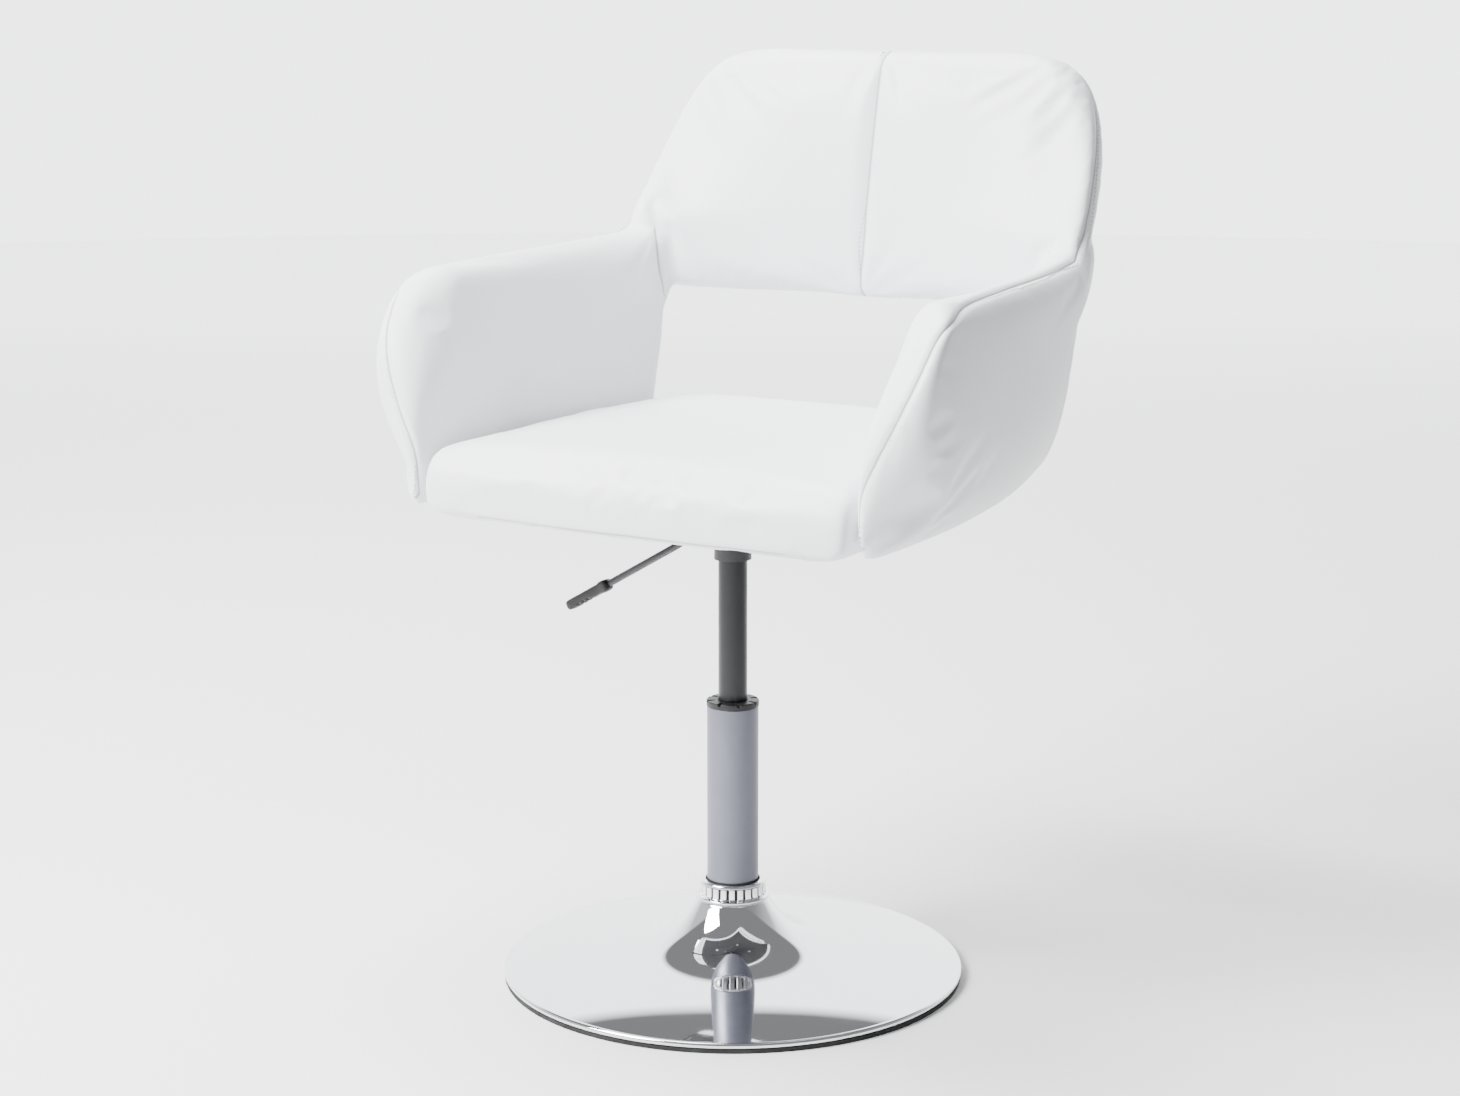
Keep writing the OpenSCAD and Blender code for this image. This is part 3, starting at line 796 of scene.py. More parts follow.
@dataclass
class Seam:
    """A sewn seam on a padded piece, guided by a few points close to the surface."""

    guides: list
    row: float = 2.4 * MM
    pitch: float = 4.6 * MM
    stitched: bool = True

    def on(self, piece: Object, spacing: float = 2.0 * MM) -> tuple[Array, Array, Array]:
        """The seam laid on a piece.

        Args:
            piece: The piece that it is sewn on.
            spacing: The distance between the points asked for.

        Returns:
            Points on the surface, the surface's normals there, and the seam's direction there.
        """
        tree = BVHTree.FromPolygons(points_of(piece).tolist(), [tuple(p.vertices) for p in piece.data.polygons])
        near = [tree.find_nearest(Vector(p)) for p in spline(self.guides, spacing)]
        place = np.array([hit[0] for hit in near])
        normal = np.array([hit[1] for hit in near])
        kernel = np.ones(9) / 9
        for block in (place, normal):
            block[4:-4] = np.stack([np.convolve(block[:, i], kernel, "valid") for i in range(3)], -1)
        return place, unit(normal), unit(np.gradient(place, axis=0))


def mirrored(guides: Sequence[Sequence[float]]) -> list:
    """The same points on the other side of the chair."""
    return [(-x, y, z) for x, y, z in guides]


class Padding:
    """Turns plain closed forms into one soft upholstered piece."""

    def __init__(self, name: str, forms: list[Object], voxel: float, rounds: int) -> None:
        """Joins the forms into one skin of equal small squares and smooths it.

        Args:
            name: The piece's name.
            forms: Closed forms that overlap.
            voxel: The squares' size.
            rounds: How many times each point moves half way to the middle of its neighbours.
        """
        self.piece = forms[0]
        self.piece.name = name
        base = self.piece.data
        for form in forms[1:]:
            points = np.vstack([points_of(self.piece), points_of(form)])
            shift = len(base.vertices)
            faces = [list(p.vertices) for p in base.polygons]
            faces += [[v + shift for v in p.vertices] for p in form.data.polygons]
            base = bpy.data.meshes.new(name)
            base.from_pydata(points, [], faces)
            self.piece.data = base
            bpy.data.objects.remove(form)
        remesh = self.piece.modifiers.new("skin", "REMESH")
        remesh.mode, remesh.voxel_size = "VOXEL", voxel
        relax = self.piece.modifiers.new("relax", "SMOOTH")
        relax.factor, relax.iterations = 0.5, rounds
        bake_modifiers(self.piece)

    def distances(self, seams: list[Seam]) -> tuple[Array, Array]:
        """How far each point of the piece is from its nearest seam.

        Args:
            seams: The seams.

        Returns:
            The distance, and the same with a sign that says on which side of the seam the point lies.
        """
        points = points_of(self.piece)
        best, side = np.full(len(points), 9.0), np.zeros(len(points))
        for seam in seams:
            place, normal, along = seam.on(self.piece)
            across = np.cross(along, normal)
            for part in np.array_split(np.arange(len(points)), max(1, len(points) // 8000)):
                gap = points[part, None] - place[None]
                near = (gap**2).sum(-1).argmin(1)
                d = gap[np.arange(len(part)), near]
                reach = np.linalg.norm(d, axis=1)
                nearer = reach < best[part]
                best[part] = np.where(nearer, reach, best[part])
                side[part] = np.where(nearer, (d * across[near]).sum(1), side[part])
        return best, side

    def inflate(self, seams: list[Seam], pressure: float, cap: float, frames: int = 20) -> None:
        """Blows the piece up as cloth that is held along its seams, and keeps the result.

        Args:
            seams: Where the skin is sewn down.
            pressure: The pressure inside.
            cap: The farthest that a point may move.
            frames: Number of steps of the simulation.
        """
        start = points_of(self.piece)
        held = self.piece.vertex_groups.new(name="held")
        reach = self.distances(seams)[0] if seams else np.full(len(start), 9.0)
        for index in np.flatnonzero(reach < 4 * MM):
            held.add([int(index)], 1.0, "REPLACE")
        cloth = self.piece.modifiers.new("cloth", "CLOTH")
        fabric = cloth.settings
        fabric.quality, fabric.mass = 4, 0.3
        fabric.tension_stiffness = fabric.compression_stiffness = 25.0
        fabric.shear_stiffness, fabric.bending_stiffness = 8.0, 4.0
        fabric.use_pressure, fabric.uniform_pressure_force = True, pressure
        fabric.effector_weights.gravity = 0.0
        fabric.vertex_group_mass = held.name
        cloth.collision_settings.use_collision = False
        cloth.point_cache.frame_start, cloth.point_cache.frame_end = 1, frames
        for step in range(1, frames + 1):
            bpy.context.scene.frame_set(step)
        bake_modifiers(self.piece)
        bpy.context.scene.frame_set(1)
        moved = points_of(self.piece) - start
        length = np.linalg.norm(moved, axis=1, keepdims=True)
        LOG.info("%s: cloth moved %.1f mm at most", self.piece.name, length.max() / MM)
        move_points(self.piece, start + moved * cap * np.tanh(length / cap) / np.maximum(length, 1e-9))

    def sew(self, seams: list[Seam], depth: float, width: float) -> None:
        """Refines the skin once, pulls it in along the seams and stores where they run.

        The skin sinks by depth times e to the power -(d / width)^2, at a distance d from a seam. Small
        gathers run off each seam: the sine of the place along it, fading out over four widths.

        Args:
            seams: The seams.
            depth: How deep the skin sinks at a seam.
            width: How wide the groove is.
        """
        finer = self.piece.modifiers.new("finer", "SUBSURF")
        finer.levels = finer.render_levels = 1
        bake_modifiers(self.piece)
        reach, side = self.distances(seams)
        points = points_of(self.piece)
        sink = depth * np.exp(-((reach / width) ** 2))
        move_points(self.piece, points - normals_of(self.piece) * sink[:, None])
        run = points.sum(1) / (9 * MM)
        set_attribute(self.piece, "seam_side", side)
        set_attribute(self.piece, "seam_near", np.clip((9 * MM - reach) / (4 * MM), 0, 1))
        set_attribute(self.piece, "pucker", np.sin(run * TURN) * np.exp(-((reach / (3 * width)) ** 2)) * 0.25)


def stitch_row(name: str, piece: Object, seams: list[Seam]) -> Object:
    """Short raised stitches beside seams: domed bars laid end to end with gaps between them.

    Their faces point inwards, as those of revolve do.

    Args:
        name: The new piece's name.
        piece: The sewn piece.
        seams: The seams that get stitches, each row at its own distance beside its seam.

    Returns:
        One piece that holds all the stitches.
    """
    rings, sides, length, radius = 6, 8, 3.1 * MM, 0.5 * MM
    place = np.linspace(-1, 1, rings)
    swell = np.sqrt(1 - (0.96 * place) ** 4)
    angle = np.arange(sides) * TURN / sides
    points, faces, shift = [], [], 0
    for seam in seams:
        spot, normal, along = seam.on(piece, seam.pitch)
        across = np.cross(along, normal)
        centre = spot + across * seam.row + normal * (0.1 * MM)
        ring = (
            centre[:, None, None]
            + along[:, None, None] * (place * length / 2)[None, :, None, None]
            + across[:, None, None] * (radius * swell[:, None] * np.cos(angle))[None, ..., None]
            + normal[:, None, None] * (radius * swell[:, None] * np.sin(angle))[None, ..., None]
        )
        one = grid_quads(rings, sides, wrap_cols=True).tolist()
        one += [list(range(sides))[::-1], list(range((rings - 1) * sides, rings * sides))]
        for index in range(len(spot)):
            base = shift + index * rings * sides
            faces += [[v + base for v in face] for face in one]
        points.append(ring.reshape(-1, 3))
        shift += len(spot) * rings * sides
    return put_mesh(name, np.vstack(points), faces)


@dataclass
class Arms:
    """The two padded arms, each a closed form from its rounded nose to its leaning rear edge."""

    front_half: float = 0.231
    narrowing: float = 0.036
    outer: float = 0.3005
    taper: float = 0.035
    low: float = 0.468
    top: float = 0.6885
    tip_y: float = -0.1855
    nose_radius: float = 0.034
    rounding: float = 0.024

    def nose_x(self, z: Array) -> Array:
        """How far out the nose's crest is at a height: it crosses from the seat's edge to the arm's top."""
        return np.maximum(0.289 - 0.065 * np.maximum(0, (0.650 - z) / 0.150) ** 1.35, 0.2275)

    def nose_y(self, x: Array, z: Array) -> Array:
        """Where the nose is: its crest leans back with height, and it falls away from it on a parabola."""
        crest = self.tip_y + 0.072 * np.clip((z - self.low) / (self.top - self.low), 0, 1.1) ** 4
        return crest + (x - self.nose_x(z)) ** 2 / (2 * self.nose_radius)

    def rear_y(self, z: Array) -> Array:
        """The leaning rear edge, carried on into the back's wing above the window's edge."""
        return 0.166 + 0.277 * (z - 0.492) + 0.026 * smooth_step(0.628, 0.668, z)

    def form(self) -> Object:
        """The left arm.

        A ring of the section lies at a share t of the way from nose to rear edge. Its underside rises as
        t^2, its top as t and, close to the back, as t^12. The inner face leans out above the seat, and the
        outer face tucks in below as e to the power of minus the height over 30 mm.

        Returns:
            The arm as a closed mesh object.
        """
        st = Stations(edge=10 * MM, inner=24 * MM)
        angle = (np.arange(96)[None] / 96 + 0.25) * TURN
        t = st.along
        low = self.low + 0.023 * t**2
        top = self.top + 0.012 * t + 0.020 * t**12
        half_h, half_w = (top - low) / 2, 0.030
        across, up = soft_box(half_w - st.inset, half_h - st.inset, self.rounding - st.inset * 0.5, angle)
        u = across / half_w
        z = (low + top) / 2 + up - 0.010 * np.maximum(0, u) ** 2 * np.maximum(0, up / half_h) ** 4
        inner = self.front_half + 1.2 * MM - self.narrowing * t**2.6
        inner = inner + (0.073 - 0.023 * t) * np.maximum(0, z - 0.512)
        outer = self.outer - self.taper * t**2.4 - 0.049 * np.exp(-np.maximum(0, z - self.low) / 0.030)
        x = inner + (outer - inner) * (u + 1) / 2
        nose = self.nose_y(x, z) + 10 * MM - st.lead
        rear = self.rear_y(z) - 10 * MM + st.trail
        y = nose + (rear - nose) * t
        return close_form("left_arm", np.stack(np.broadcast_arrays(x, y, z), -1))


@dataclass
class Back:
    """The padded back: a closed form from wing to wing."""

    half: float = 0.262
    low: float = 0.638
    top: float = 0.886
    fall: float = 0.248
    front: float = 0.2405
    lean: float = 0.179
    thick: float = 0.050
    reach: float = 0.054

    def form(self) -> Object:
        """The back.

        At a distance x from the middle its top falls by 248 mm times (x / 270 mm)^10. Its wings reach
        forward by 54 mm times (x / half)^2.4, fading out towards the top.

        Returns:
            The back as a closed mesh object.
        """
        st = Stations(edge=18 * MM, inner=23 * MM, count=110)
        angle = (np.arange(96)[None] / 96 + 0.25) * TURN
        x = (st.along * 2 - 1) * (self.half - 18 * MM) - st.lead + st.trail
        f = np.abs(x) / self.half
        low = self.low + 0.016 * f**8
        top = self.top - self.fall * (np.abs(x) / 0.270) ** 10
        half_h, half_w = (top - low) / 2, self.thick / 2
        across, up = soft_box(half_w - st.inset, half_h - st.inset, 23 * MM - st.inset * 0.5, angle)
        z = (low + top) / 2 + up
        fade = np.clip((0.870 - z) / 0.154, 0, 1) ** 1.7
        y = self.front + self.thick / 2 + self.lean * (z - self.low) - self.reach * f**2.4 * fade
        y = y - across * (1 - 0.10 * f**3)
        x = x + 0 * y
        return close_form("back", np.stack(np.broadcast_arrays(x, y, z), -1))


@dataclass
class Wing:
    """The one-piece upholstered shell of both arms and the back, with its seams and stitches."""

    arms: Arms = field(default_factory=Arms)
    back: Back = field(default_factory=Back)

    def arm_seam(self) -> list:
        """Guides of the left arm's seam: up the nose's crest, along the outer top edge, up the back's side.

        Returns:
            Points from the nose's foot to the back's shoulder.
        """
        nose = []
        for z in (0.476, 0.49, 0.52, 0.56, 0.60, 0.635):
            x = self.arms.nose_x(np.array(z))
            nose.append((float(x), float(self.arms.nose_y(x, np.array(z))) - 2 * MM, z))
        top = [(0.290, -0.128, 0.664), (0.2895, -0.085, 0.684), (0.287, -0.02, 0.693), (0.282, 0.08, 0.700),
               (0.2745, 0.165, 0.706), (0.2685, 0.212, 0.716)]
        side = [(0.262, 0.238, 0.742), (0.2545, 0.262, 0.775), (0.245, 0.285, 0.808), (0.232, 0.303, 0.838)]
        return nose + top + side

    def seams(self) -> list[Seam]:
        """The arm seams, the back's middle seam, and the two seams where the arms meet the back inside.

        Returns:
            The four seams.
        """
        crown = [(0.213, 0.315, 0.868), (0.185, 0.324, 0.884), (0.14, 0.328, 0.892), (0.07, 0.329, 0.893)]
        left = self.arm_seam() + crown
        right = mirrored(left)[::-1]
        around = left + [(0.0, 0.329, 0.893)] + right
        middle = [(0.0, 0.300, 0.892), (0.0, 0.286, 0.880), (0.0, 0.262, 0.780), (0.0, 0.246, 0.690),
                  (0.0, 0.237, 0.646), (0.0, 0.246, 0.632)]
        inside = [(0.218, 0.207, 0.704), (0.213, 0.203, 0.687), (0.208, 0.200, 0.668), (0.203, 0.198, 0.640)]
        return [
            Seam(around, row=2.6 * MM),
            Seam(middle, row=2.8 * MM),
            Seam(inside, stitched=False),
            Seam(mirrored(inside), stitched=False),
        ]

    def build(self, finishes: Finishes) -> None:
        """Makes the shell and its stitching, and seats them on the frame.

        Args:
            finishes: The object's finishes.
        """
        left = self.arms.form()
        right = left.copy()
        right.data = left.data.copy()
        bpy.context.scene.collection.objects.link(right)
        move_points(right, points_of(right) * [-1, 1, 1])
        right.data.flip_normals()
        padding = Padding("wing_upholstery", [self.back.form(), left, right], 4.8 * MM, 8)
        seams = self.seams()
        padding.inflate(seams, 3.2, 4.5 * MM)
        padding.sew(seams, 1.8 * MM, 3.4 * MM)
        shell = finishes.dress(padding.piece, "white_leather")
        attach(shell, Body.SEAT.value)
        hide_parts("left_arm_pad", "right_arm_pad", "back_pad")
        rows = stitch_row("wing_stitching", shell, [s for s in seams if s.stitched])
        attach(finishes.dress(rows, "sewing_thread"), Body.SEAT.value)
        LOG.info("wing: %d points, %d stitch points", len(shell.data.vertices), len(rows.data.vertices))


@dataclass
class Cushion:
    """The seat cushion, wrapped under the seat board."""

    front: float = -0.1935
    rear: float = 0.222
    low: float = 0.4629
    rim: float = 0.527
    crown: float = 0.011

    def half(self, y: Array) -> Array:
        """Half its width: nearly straight in front and narrowing towards the rear."""
        return 0.2302 - 0.033 * np.clip((y + 0.180) / 0.405, 0, 1) ** 2.6

    def form(self) -> Object:
        """The cushion.

        Its front bows back by 4 mm times (x / half)^4 towards the sides, and rolls back towards its top
        by 40 mm times the fourth power of the height's share. The top is crowned as 1 - (x / half)^2.

        Returns:
            The cushion as a closed mesh object.
        """
        st = Stations(edge=6 * MM, inner=30 * MM)
        angle = np.arange(120)[None] * TURN / 120
        t = st.along
        half_w = 0.2302
        top = self.rim + 0.006 * t
        half_h = (top - self.low) / 2
        across, up = soft_box(half_w - st.inset, half_h - st.inset, 20 * MM - st.inset * 0.4, angle)
        u = across / half_w
        lift = np.clip(up / half_h, 0, 1)
        z = self.low + half_h + up + self.crown * (1 - u**2) * lift * np.sin(math.pi * np.clip(0.15 + 0.8 * t, 0, 1))
        share = np.clip((z - self.low) / 0.075, 0, 1.1)
        y0 = self.front + 6 * MM - st.lead + 0.004 * u**4 + 0.040 * share**4
        y1 = self.rear - 6 * MM + st.trail - 0.010 * share**4
        y = y0 + (y1 - y0) * t
        return close_form("seat", np.stack(np.broadcast_arrays(u * self.half(y), y, z), -1))

    def build(self, finishes: Finishes) -> None:
        """Makes the cushion, flat underneath where it is pulled over the board.

        Args:
            finishes: The object's finishes.
        """
        padding = Padding("seat_cushion", [self.form()], 4.8 * MM, 6)
        padding.inflate([], 3.2, 5.0 * MM)
        under = [(-0.16, -0.188, 0.4632), (0.0, -0.19, 0.4632), (0.16, -0.188, 0.4632)]
        padding.sew([Seam(under, stitched=False)], 0.4 * MM, 2.5 * MM)
        points = points_of(padding.piece)
        points[:, 2] = np.maximum(points[:, 2], self.low)
        limit = self.half(points[:, 1]) + 0.9 * MM
        points[:, 0] = np.clip(points[:, 0], -limit, limit)
        move_points(padding.piece, points)
        cushion = finishes.dress(padding.piece, "white_leather")
        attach(cushion, Body.SEAT.value)
        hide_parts("seat_pad")
        LOG.info("cushion: %d points", len(cushion.data.vertices))


# ---------------------------------------------------------------- metalwork


@dataclass
class TrumpetBase:
    """The chromed trumpet: a thin spun sheet with a rolled bead, drawn from the frame's own box."""

    sheet: float = 1.6 * MM
    bead: float = 3.0 * MM
    hub: float = 35 * MM
    bore: float = 25.2 * MM
    flare: float = 7.0
    shoulder: float = 19 * MM
    roundness: float = 2.2

    def outline(self) -> Array:
        """Its outline: up from the bead to the hub, down the bore and back underneath.

        At a share s of the way in from the rim it has risen by the shoulder times 1 - (1 - s)^2.2, plus the
        rest of its height times s^7, which makes the flared hub.

        Returns:
            Rows of radius and height.
        """
        low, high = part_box("base_shell")
        rim_r, rim_z = high.x - self.bead, low.z + 2 * self.bead
        share = np.linspace(0, 1, 150)
        r = rim_r + (self.hub - rim_r) * share
        z = rim_z + self.shoulder * (1 - (1 - share) ** self.roundness)
        z = z + (high.z - rim_z - self.shoulder) * share**self.flare
        roll = np.linspace(-0.75 * math.pi, math.pi / 2, 30)
        bead = np.stack([rim_r + self.bead * np.cos(roll), low.z + self.bead * (1 + np.sin(roll))], -1)
        mouth = np.array([[self.bore + 1 * MM, high.z], [self.bore, high.z - 0.5 * MM],
                          [self.bore, high.z - self.sheet]])
        under = np.stack([r, z - self.sheet * (1 + share**6)], -1)[::-1]
        return np.vstack([bead[:-1], np.stack([r, z], -1), mouth, under[:-12]])

    def build(self, finishes: Finishes) -> None:
        """Makes the trumpet in place of its plain solid.

        Args:
            finishes: The object's finishes.
        """
        shell = revolve("trumpet_shell", self.outline(), 256)
        finishes.dress(shell, "mirror_chrome")
        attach(shell, Body.BASE.value)
        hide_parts("base_shell")


@dataclass
class Collar:
    """The ribbed collar on the hub, with rounded ribs and painted shade in the gaps between them."""

    ribs: int = 24
    bore: float = 26.2 * MM
    groove: float = 2.6 * MM

    def build(self, finishes: Finishes) -> None:
        """Makes the collar.

        Its outline of radius and height is carried round the axis. In the ribbed band the radius drops by
        the groove's depth where the cosine of the angle times the number of ribs is low, with soft edges.
        Its faces point inwards, as those of revolve do.

        Args:
            finishes: The object's finishes.
        """
        low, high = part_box("collar_ring")
        flange, height = high.x, high.z - low.z
        body = flange - 4.3 * MM
        outline = rounded([(self.bore, 0), (flange, 0), (flange, 3 * MM), (body + 0.6 * MM, 3.6 * MM),
                           (body, height * 0.45), (body, height - 3.4 * MM), (body + 0.5 * MM, height - 2.4 * MM),
                           (body - 0.6 * MM, height), (self.bore, height)], 1.1 * MM, 6)
        outline = self.subdivide(outline, 0.45 * MM)
        sides = self.ribs * 20
        angle = np.arange(sides)[:, None] * TURN / sides
        r, z = outline[None, :, 0], outline[None, :, 1]
        band = smooth_step(3.7 * MM, 4.6 * MM, z) * smooth_step(0, 1 * MM, height - 2.9 * MM - z)
        gap = smooth_step(0.30, 0.62, -np.cos(self.ribs * angle))
        cut = self.groove * band * gap * smooth_step(self.bore + 3 * MM, self.bore + 4 * MM, r)
        r = r - cut
        points = np.stack([r * np.cos(angle), r * np.sin(angle), low.z + z + 0 * angle], -1)
        ring = put_mesh("ribbed_collar", points, grid_quads(sides, outline.shape[0], True, True))
        # The groove mask, which the ribbed chrome turns into painted shade.
        set_attribute(ring, "groove", np.clip(1.6 * cut / self.groove, 0, 1) + 0 * z)
        finishes.dress(ring, "ribbed_chrome")
        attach(ring, Body.BASE.value)
        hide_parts("collar_ring")

    @staticmethod
    def subdivide(outline: Array, step: float) -> Array:
        """The same closed outline with points at equal steps.

        Args:
            outline: Rows of radius and height.
            step: The distance between points along it.

        Returns:
            The new rows of radius and height.
        """
        closed = np.vstack([outline, outline[:1]])
        length = np.concatenate([[0], np.cumsum(np.linalg.norm(np.diff(closed, axis=0), axis=1))])
        wanted = np.linspace(0, length[-1], round(length[-1] / step), endpoint=False)
        return np.stack([np.interp(wanted, length, closed[:, i]) for i in range(2)], -1)


@dataclass
class Column:
    """The smooth standpipe, the guide bush's notched flange and the pressure tube."""

    notches: int = 8

    def build(self, finishes: Finishes) -> None:
        """Makes the three round pieces in place of their plain solids.

        Args:
            finishes: The object's finishes.
        """
        low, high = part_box("standpipe")
        r, wall = high.x, 1.5 * MM
        pipe = revolve("standpipe_skin", rounded([(r - 1.4 * MM - wall, low.z), (r - 1.4 * MM, low.z),
                       (r, low.z + 61 * MM), (r, high.z), (r - wall, high.z), (r - wall, low.z + 61 * MM)], 0.5 * MM))
        finishes.dress(pipe, "satin_grey_tube")
        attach(pipe, Body.BASE.value)
        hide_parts("standpipe")
        self.bush(finishes)
        low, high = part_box("pressure_tube")
        r = high.x
        skin = revolve("pressure_tube_skin", rounded([(7 * MM, low.z), (r, low.z), (r, high.z - 33 * MM),
                       (r - 0.8 * MM, high.z), (4.3 * MM, high.z), (4.3 * MM, high.z - 2 * MM),
                       (r - 2.3 * MM, high.z - 2 * MM), (r - 2.3 * MM, high.z - 33 * MM),
                       (r - wall, high.z - 39 * MM), (r - wall, low.z + 2 * MM), (7 * MM, low.z + 2 * MM)], 0.7 * MM))
        finishes.dress(skin, "charcoal_tube")
        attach(skin, Body.SEAT.value)
        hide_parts("pressure_tube")

    def bush(self, finishes: Finishes) -> None:
        """The guide bush: a sleeve with a round-edged flange whose top has radial notches.

        The top's height drops by 1.9 mm where the cosine of the angle times the number of notches is
        close to 1, on the outer half of the flange. Its faces point inwards, as those of revolve do.

        Args:
            finishes: The object's finishes.
        """
        low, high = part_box("guide_bush")
        bore, flange, sleeve = 14.08 * MM, high.x, 23.45 * MM
        step = high.z - 6 * MM
        outline = Collar.subdivide(rounded([(bore, low.z), (sleeve, low.z), (sleeve, step), (flange, step),
                                            (flange, high.z), (bore, high.z)], 0.8 * MM, 5), 0.8 * MM)
        sides = self.notches * 28
        angle = np.arange(sides)[:, None] * TURN / sides
        r, z = outline[None, :, 0], outline[None, :, 1]
        notch = smooth_step(0.80, 0.93, np.cos(self.notches * angle)) * smooth_step(17.5 * MM, 18.8 * MM, r)
        z = z - 1.9 * MM * notch * smooth_step(high.z - 2.6 * MM, high.z - 0.6 * MM, z)
        points = np.stack([r * np.cos(angle), r * np.sin(angle), z + 0 * angle], -1)
        piece = put_mesh("guide_bush_skin", points, grid_quads(sides, outline.shape[0], True, True))
        finishes.dress(piece, "black_plastic")
        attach(piece, Body.BASE.value)
        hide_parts("guide_bush")


@dataclass
class Lever:
    """The bent lever rod and its flat moulded grip."""

    slope: float = math.radians(30.3)
    grip_length: float = 58 * MM

    def build(self, finishes: Finishes) -> None:
        """Makes the rod with one smooth bend, and the grip with its finger notches underneath.

        The rod's domed inner end reaches 0.9 mm into the lever pin, inside the hub: a known fault.

        Args:
            finishes: The object's finishes.
        """
        pivot = frame_joint("lever_tilt")
        low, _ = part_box("lever_grip")
        bend = pivot + np.array([-24, 0, -23]) * MM
        along = np.array([-math.cos(self.slope), 0, -math.sin(self.slope)])
        tip = bend + along * ((bend[0] - low.x) / math.cos(self.slope) - 0.5 * MM)
        start = pivot + unit(bend - pivot) * 6.6 * MM
        s = np.linspace(0, 1, 14)[:, None]
        near, far = bend - unit(bend - pivot) * 12 * MM, bend + along * 12 * MM
        curve = (1 - s) ** 2 * near + 2 * s * (1 - s) * bend + s * s * far
        rod = tube("lever_rod_bar", np.vstack([start, curve, tip - along * 8 * MM]), 3.5 * MM, 28)
        finishes.dress(rod, "black_steel")
        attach(rod, Body.LEVER.value)
        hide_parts("lever_rod")
        self.grip(finishes, tip, along)

    def grip(self, finishes: Finishes, tip: Array, along: Array) -> None:
        """The grip: a flat oval bar, thicker at its collar, with three shallow notches on its lower side.

        A ring at a share s of the length is a soft box. Its half height is 5.3 mm, drawn in at both ends on
        a quarter circle, and its lower side is scooped by 1.9 mm times a raised cosine at each notch.

        Args:
            finishes: The object's finishes.
            tip: The grip's outer end.
            along: The unit direction from the rod to the tip.
        """
        s = np.concatenate([[0.0, 0.002, 0.012, 0.03], np.linspace(0.06, 0.93, 70), [0.96, 0.98, 0.993, 1.0]])
        s = s[:, None]
        angle = np.arange(40)[None] * TURN / 40
        ends = np.sqrt(np.clip(1 - (np.abs(2 * s - 1) ** 14), 0, 1)) * 0.9 + 0.1 * (1 - np.abs(2 * s - 1) ** 40)
        width = (7.4 - 1.1 * smooth_step(0.0, 0.25, s) * smooth_step(1, 0.55, s)) * MM * np.maximum(ends, 0.05)
        height = (5.3 + 0.4 * smooth_step(0.22, 0.14, s)) * MM * np.maximum(ends, 0.05)
        across, up = soft_box(width, height, 3.2 * MM, angle)
        where = (s - 0.60) / 0.11
        scoop = np.where(np.abs(where) < 1.5, 0.5 - 0.5 * np.cos(TURN * (where - 0.5)), 0.0)
        up = up + 1.9 * MM * scoop * smooth_step(0, -1, up / height)
        step = smooth_step(0.205, 0.195, s) * 0.5 * MM
        up = up + np.sign(up) * step * (np.abs(up) > 1 * MM)
        side, top = np.array([0.0, 1.0, 0.0]), np.array([along[2], 0.0, -along[0]])
        centre = tip - along * self.grip_length * (1 - s[..., None])
        points = centre + across[..., None] * side + up[..., None] * top
        rows, cols = points.shape[:2]
        faces = grid_quads(rows, cols, wrap_cols=True).tolist()
        faces += [list(range(cols))[::-1], list(range((rows - 1) * cols, rows * cols))]
        grip = put_mesh("lever_grip_moulding", points, faces)
        fix_facing(grip)
        finishes.dress(grip, "black_plastic")
        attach(grip, Body.LEVER.value)
        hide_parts("lever_grip")


@dataclass
class Underside:
    """The dust cover under the seat, stapled to the board and sagging a little between the staples."""

    sag: float = 0.9 * MM

    def build(self, finishes: Finishes) -> None:
        """Makes the cover as a single thin cloth in place of its plain solid.

        It hangs by the sag times the product of two arches across and along the board, with a fine ripple,
        and it is level along its stapled edges and round the seat plate.

        Args:
            finishes: The object's finishes.
        """
        low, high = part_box("dust_cover")
        _, plate_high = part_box("lift_plate")
        nx, ny = 120, 112
        u, v = np.meshgrid(np.linspace(0, 1, nx), np.linspace(0, 1, ny), indexing="ij")
        x, y = low.x + (high.x - low.x) * u, low.y + (high.y - low.y) * v
        free = np.clip(16 * u * (1 - u) * v * (1 - v), 0, 1)
        off = np.maximum(np.abs(x) - plate_high.x, np.abs(y) - plate_high.y)
        free = free * smooth_step(0.004, 0.03, off)
        ripple = 0.25 * MM * np.sin(x * 95 + 3 * v) * np.sin(y * 80 + 2 * u)
        z = high.z - 0.1 * MM - (self.sag + ripple) * free
        cover = put_mesh("dust_cover_cloth", np.stack([x, y, z], -1), grid_quads(nx, ny)[:, ::-1])
        finishes.dress(cover, "black_cover_cloth")
        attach(cover, Body.SEAT.value)
        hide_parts("dust_cover")


def frame_joint(name: str) -> Array:
    """The place of a hinge of the frame."""
    return np.array(next(j["pos_m"] for j in frame["joints"] if j["name"] == name), float)


def fix_facing(piece: Object) -> None:
    """Turns a closed piece's faces outwards if the volume inside them comes out negative.

    Args:
        piece: The closed mesh object.
    """
    mesh = piece.data
    mesh.calc_loop_triangles()
    index = np.empty(len(mesh.loop_triangles) * 3, np.int32)
    mesh.loop_triangles.foreach_get("vertices", index)
    a, b, c = points_of(piece)[index.reshape(-1, 3)].transpose(1, 0, 2)
    if (a * np.cross(b, c)).sum() < 0:
        mesh.flip_normals()


# ---------------------------------------------------------------- studio


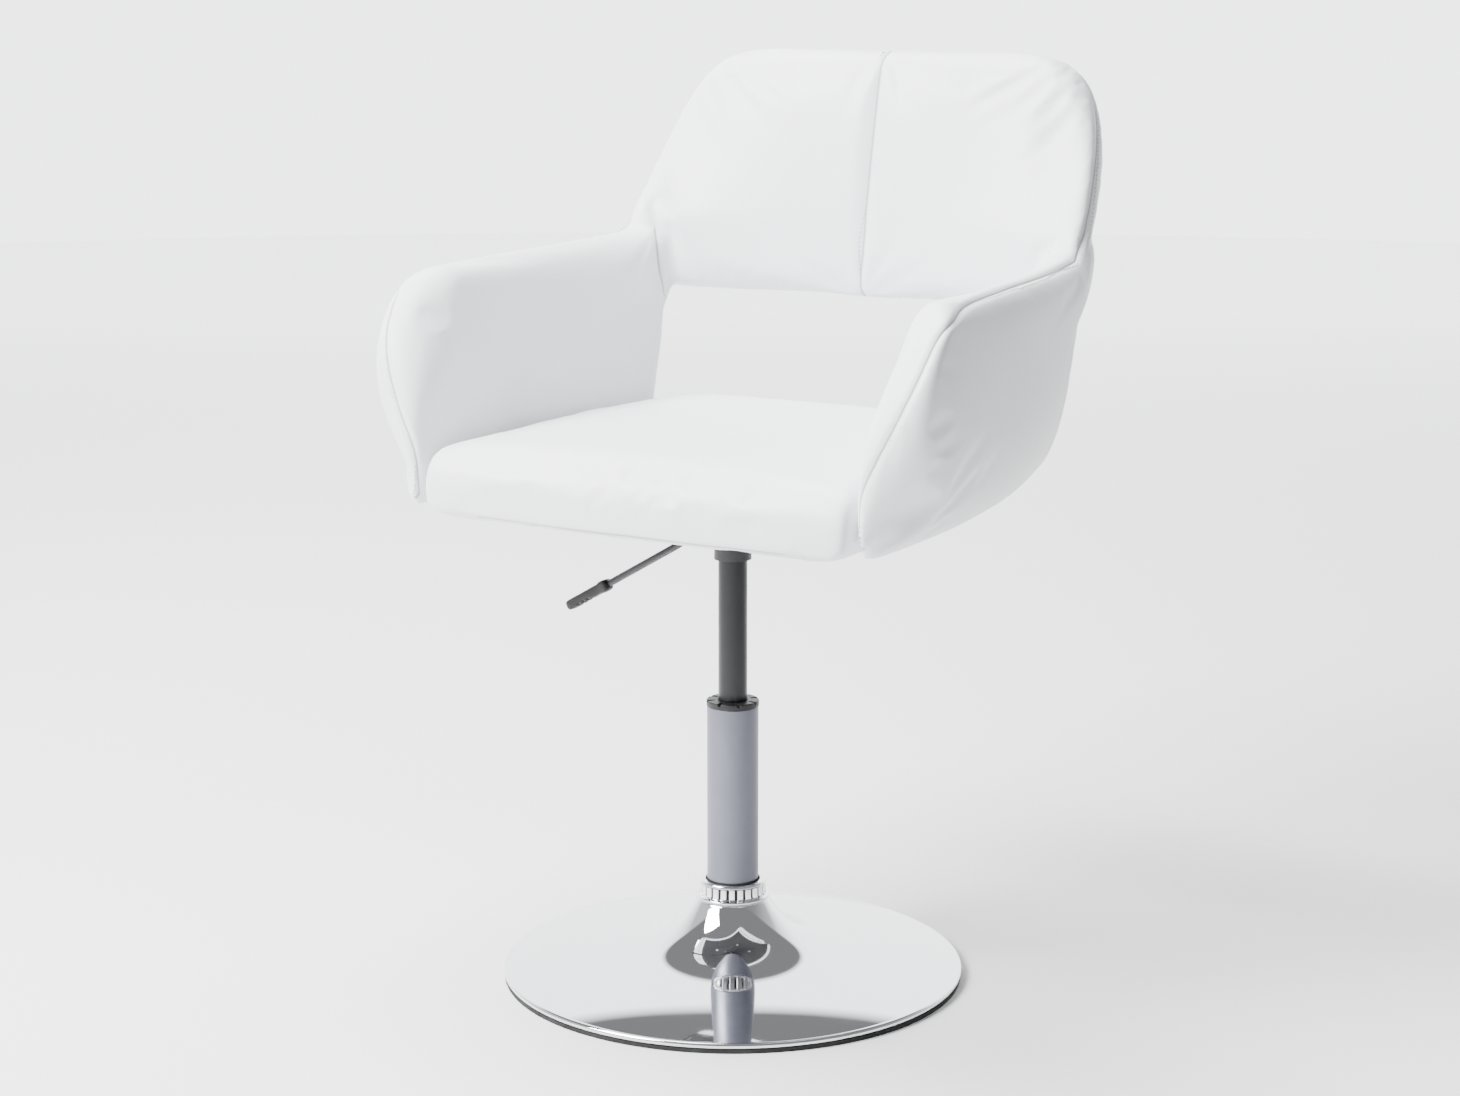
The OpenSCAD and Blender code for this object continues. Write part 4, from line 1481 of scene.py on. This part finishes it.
@dataclass
class Studio:
    """A pale floor, two soft lamps, a black flag that shades the sitter's left, and the camera."""

    eye: tuple = (1.3968, -2.2694, 0.968)
    aim: tuple = (-0.0032, 0.0, 0.4238)
    lens: float = 70.06

    def build(self) -> None:
        """Sets the studio up."""
        self.floor()
        self.world()
        self.lamp("key_lamp", (-1.5, -2.3, 2.7), (0, 0, 0.5), (1.8, 1.5), 430.0)
        self.lamp("top_lamp", (-0.9, 0.2, 3.4), (0, 0, 0.3), (2.0, 2.0), 250.0)
        self.flag()
        self.camera()

    def floor(self) -> None:
        """The floor: a wide pale disc just below the chair, which glows with painted light towards the back."""
        angle = np.arange(96) * TURN / 96
        points = np.stack([8 * np.cos(angle), 8 * np.sin(angle), 0 * angle - 0.05 * MM], -1)
        floor = put_mesh("studio_floor", points, [list(range(96))], smooth=False)
        r = Recipe("studio_paper")
        # The floor's emission rises towards the back, away from the camera: painted light that fades the floor into
        # the bright wall.
        far = (r.axis("Y") * 0.85 - r.axis("X") * 0.52).between(0.6, 5.5)
        r.surface(Base_Color=r.blend(r.noise(3.0) * 0.3, colour(0.86, 0.86, 0.86), colour(0.82, 0.82, 0.82)),
                  Roughness=0.9, Emission_Color=r.blend(far, colour(0, 0, 0), colour(0.97, 0.985, 1.0)),
                  Emission_Strength=2.7)
        floor.data.materials.append(r.material)

    def flag(self) -> None:
        """A black cloth on the sitter's left that takes light away there. Only soft light meets it."""
        points = np.array([(1.25, -1.5, 0.35), (1.25, 1.5, 0.35), (1.25, 1.5, 2.1), (1.25, -1.5, 2.1)])
        flag = put_mesh("studio_flag", points, [[0, 1, 2, 3]], smooth=False)
        r = Recipe("studio_flag")
        r.surface(Base_Color=r.blend(r.noise(3.0), colour(0.01, 0.01, 0.01), colour(0.02, 0.02, 0.02)),
                  Roughness=0.95)
        flag.data.materials.append(r.material)
        flag.visible_camera = flag.visible_glossy = False

    def world(self) -> None:
        """The studio's air: a bright wall behind the chair, dark above it, and no lamps on the sitter's left."""
        world = bpy.data.worlds.new("studio_air")
        world.use_nodes = True
        tree = world.node_tree
        back = tree.nodes["Background"]
        split = tree.nodes.new("ShaderNodeSeparateXYZ")
        tree.links.new(tree.nodes.new("ShaderNodeTexCoord").outputs["Generated"], split.inputs[0])
        x, y, z = (Num(tree, split.outputs[name]) for name in "XYZ")
        wall = (y * 0.85 - x * 0.52).between(0.35, 0.8)
        left = (x * 0.93 - y * 0.36).between(0.1, 0.7)
        low = 1 - z.between(0.585, 0.625)
        level = 0.3 + wall * low * 3.6 + (1 - wall) * low * 0.7 * (1 - left * 0.9)
        back.inputs["Color"].default_value = colour(0.97, 0.985, 1.0)
        tree.links.new(level.socket, back.inputs["Strength"])
        bpy.context.scene.world = world

    def lamp(self, name: str, place: tuple, aim: tuple, size: tuple, power: float) -> None:
        """A soft rectangular lamp.

        Args:
            name: Its name.
            place: Where it stands.
            aim: The point that it faces.
            size: Its width and height.
            power: Its power in watts.
        """
        light = bpy.data.lights.new(name, "AREA")
        light.shape, light.size, light.size_y, light.energy = "RECTANGLE", size[0], size[1], power
        lamp = bpy.data.objects.new(name, light)
        lamp.location = place
        lamp.rotation_euler = (Vector(aim) - Vector(place)).to_track_quat("-Z", "Y").to_euler()
        bpy.context.scene.collection.objects.link(lamp)

    def camera(self) -> None:
        """The camera, at the height of a standing person's chest."""
        data = bpy.data.cameras.new("studio_camera")
        data.lens, data.sensor_width = self.lens, 36.0
        camera = bpy.data.objects.new("studio_camera", data)
        camera.location = self.eye
        camera.rotation_euler = (Vector(self.aim) - Vector(self.eye)).to_track_quat("-Z", "Y").to_euler()
        bpy.context.scene.collection.objects.link(camera)
        bpy.context.scene.camera = camera


def main() -> None:
    """Builds the chair piece by piece round the frame, then the studio."""
    logging.basicConfig(level=logging.INFO, format="%(name)s: %(message)s")
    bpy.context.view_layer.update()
    finishes = Finishes()
    finishes.dress_frame()
    Studio().build()
    for part in (TrumpetBase(), Collar(), Column(), Lever(), Underside(), Cushion(), Wing()):
        part.build(finishes)
        LOG.info("built %s", type(part).__name__)


if __name__ == "__main__":
    main()
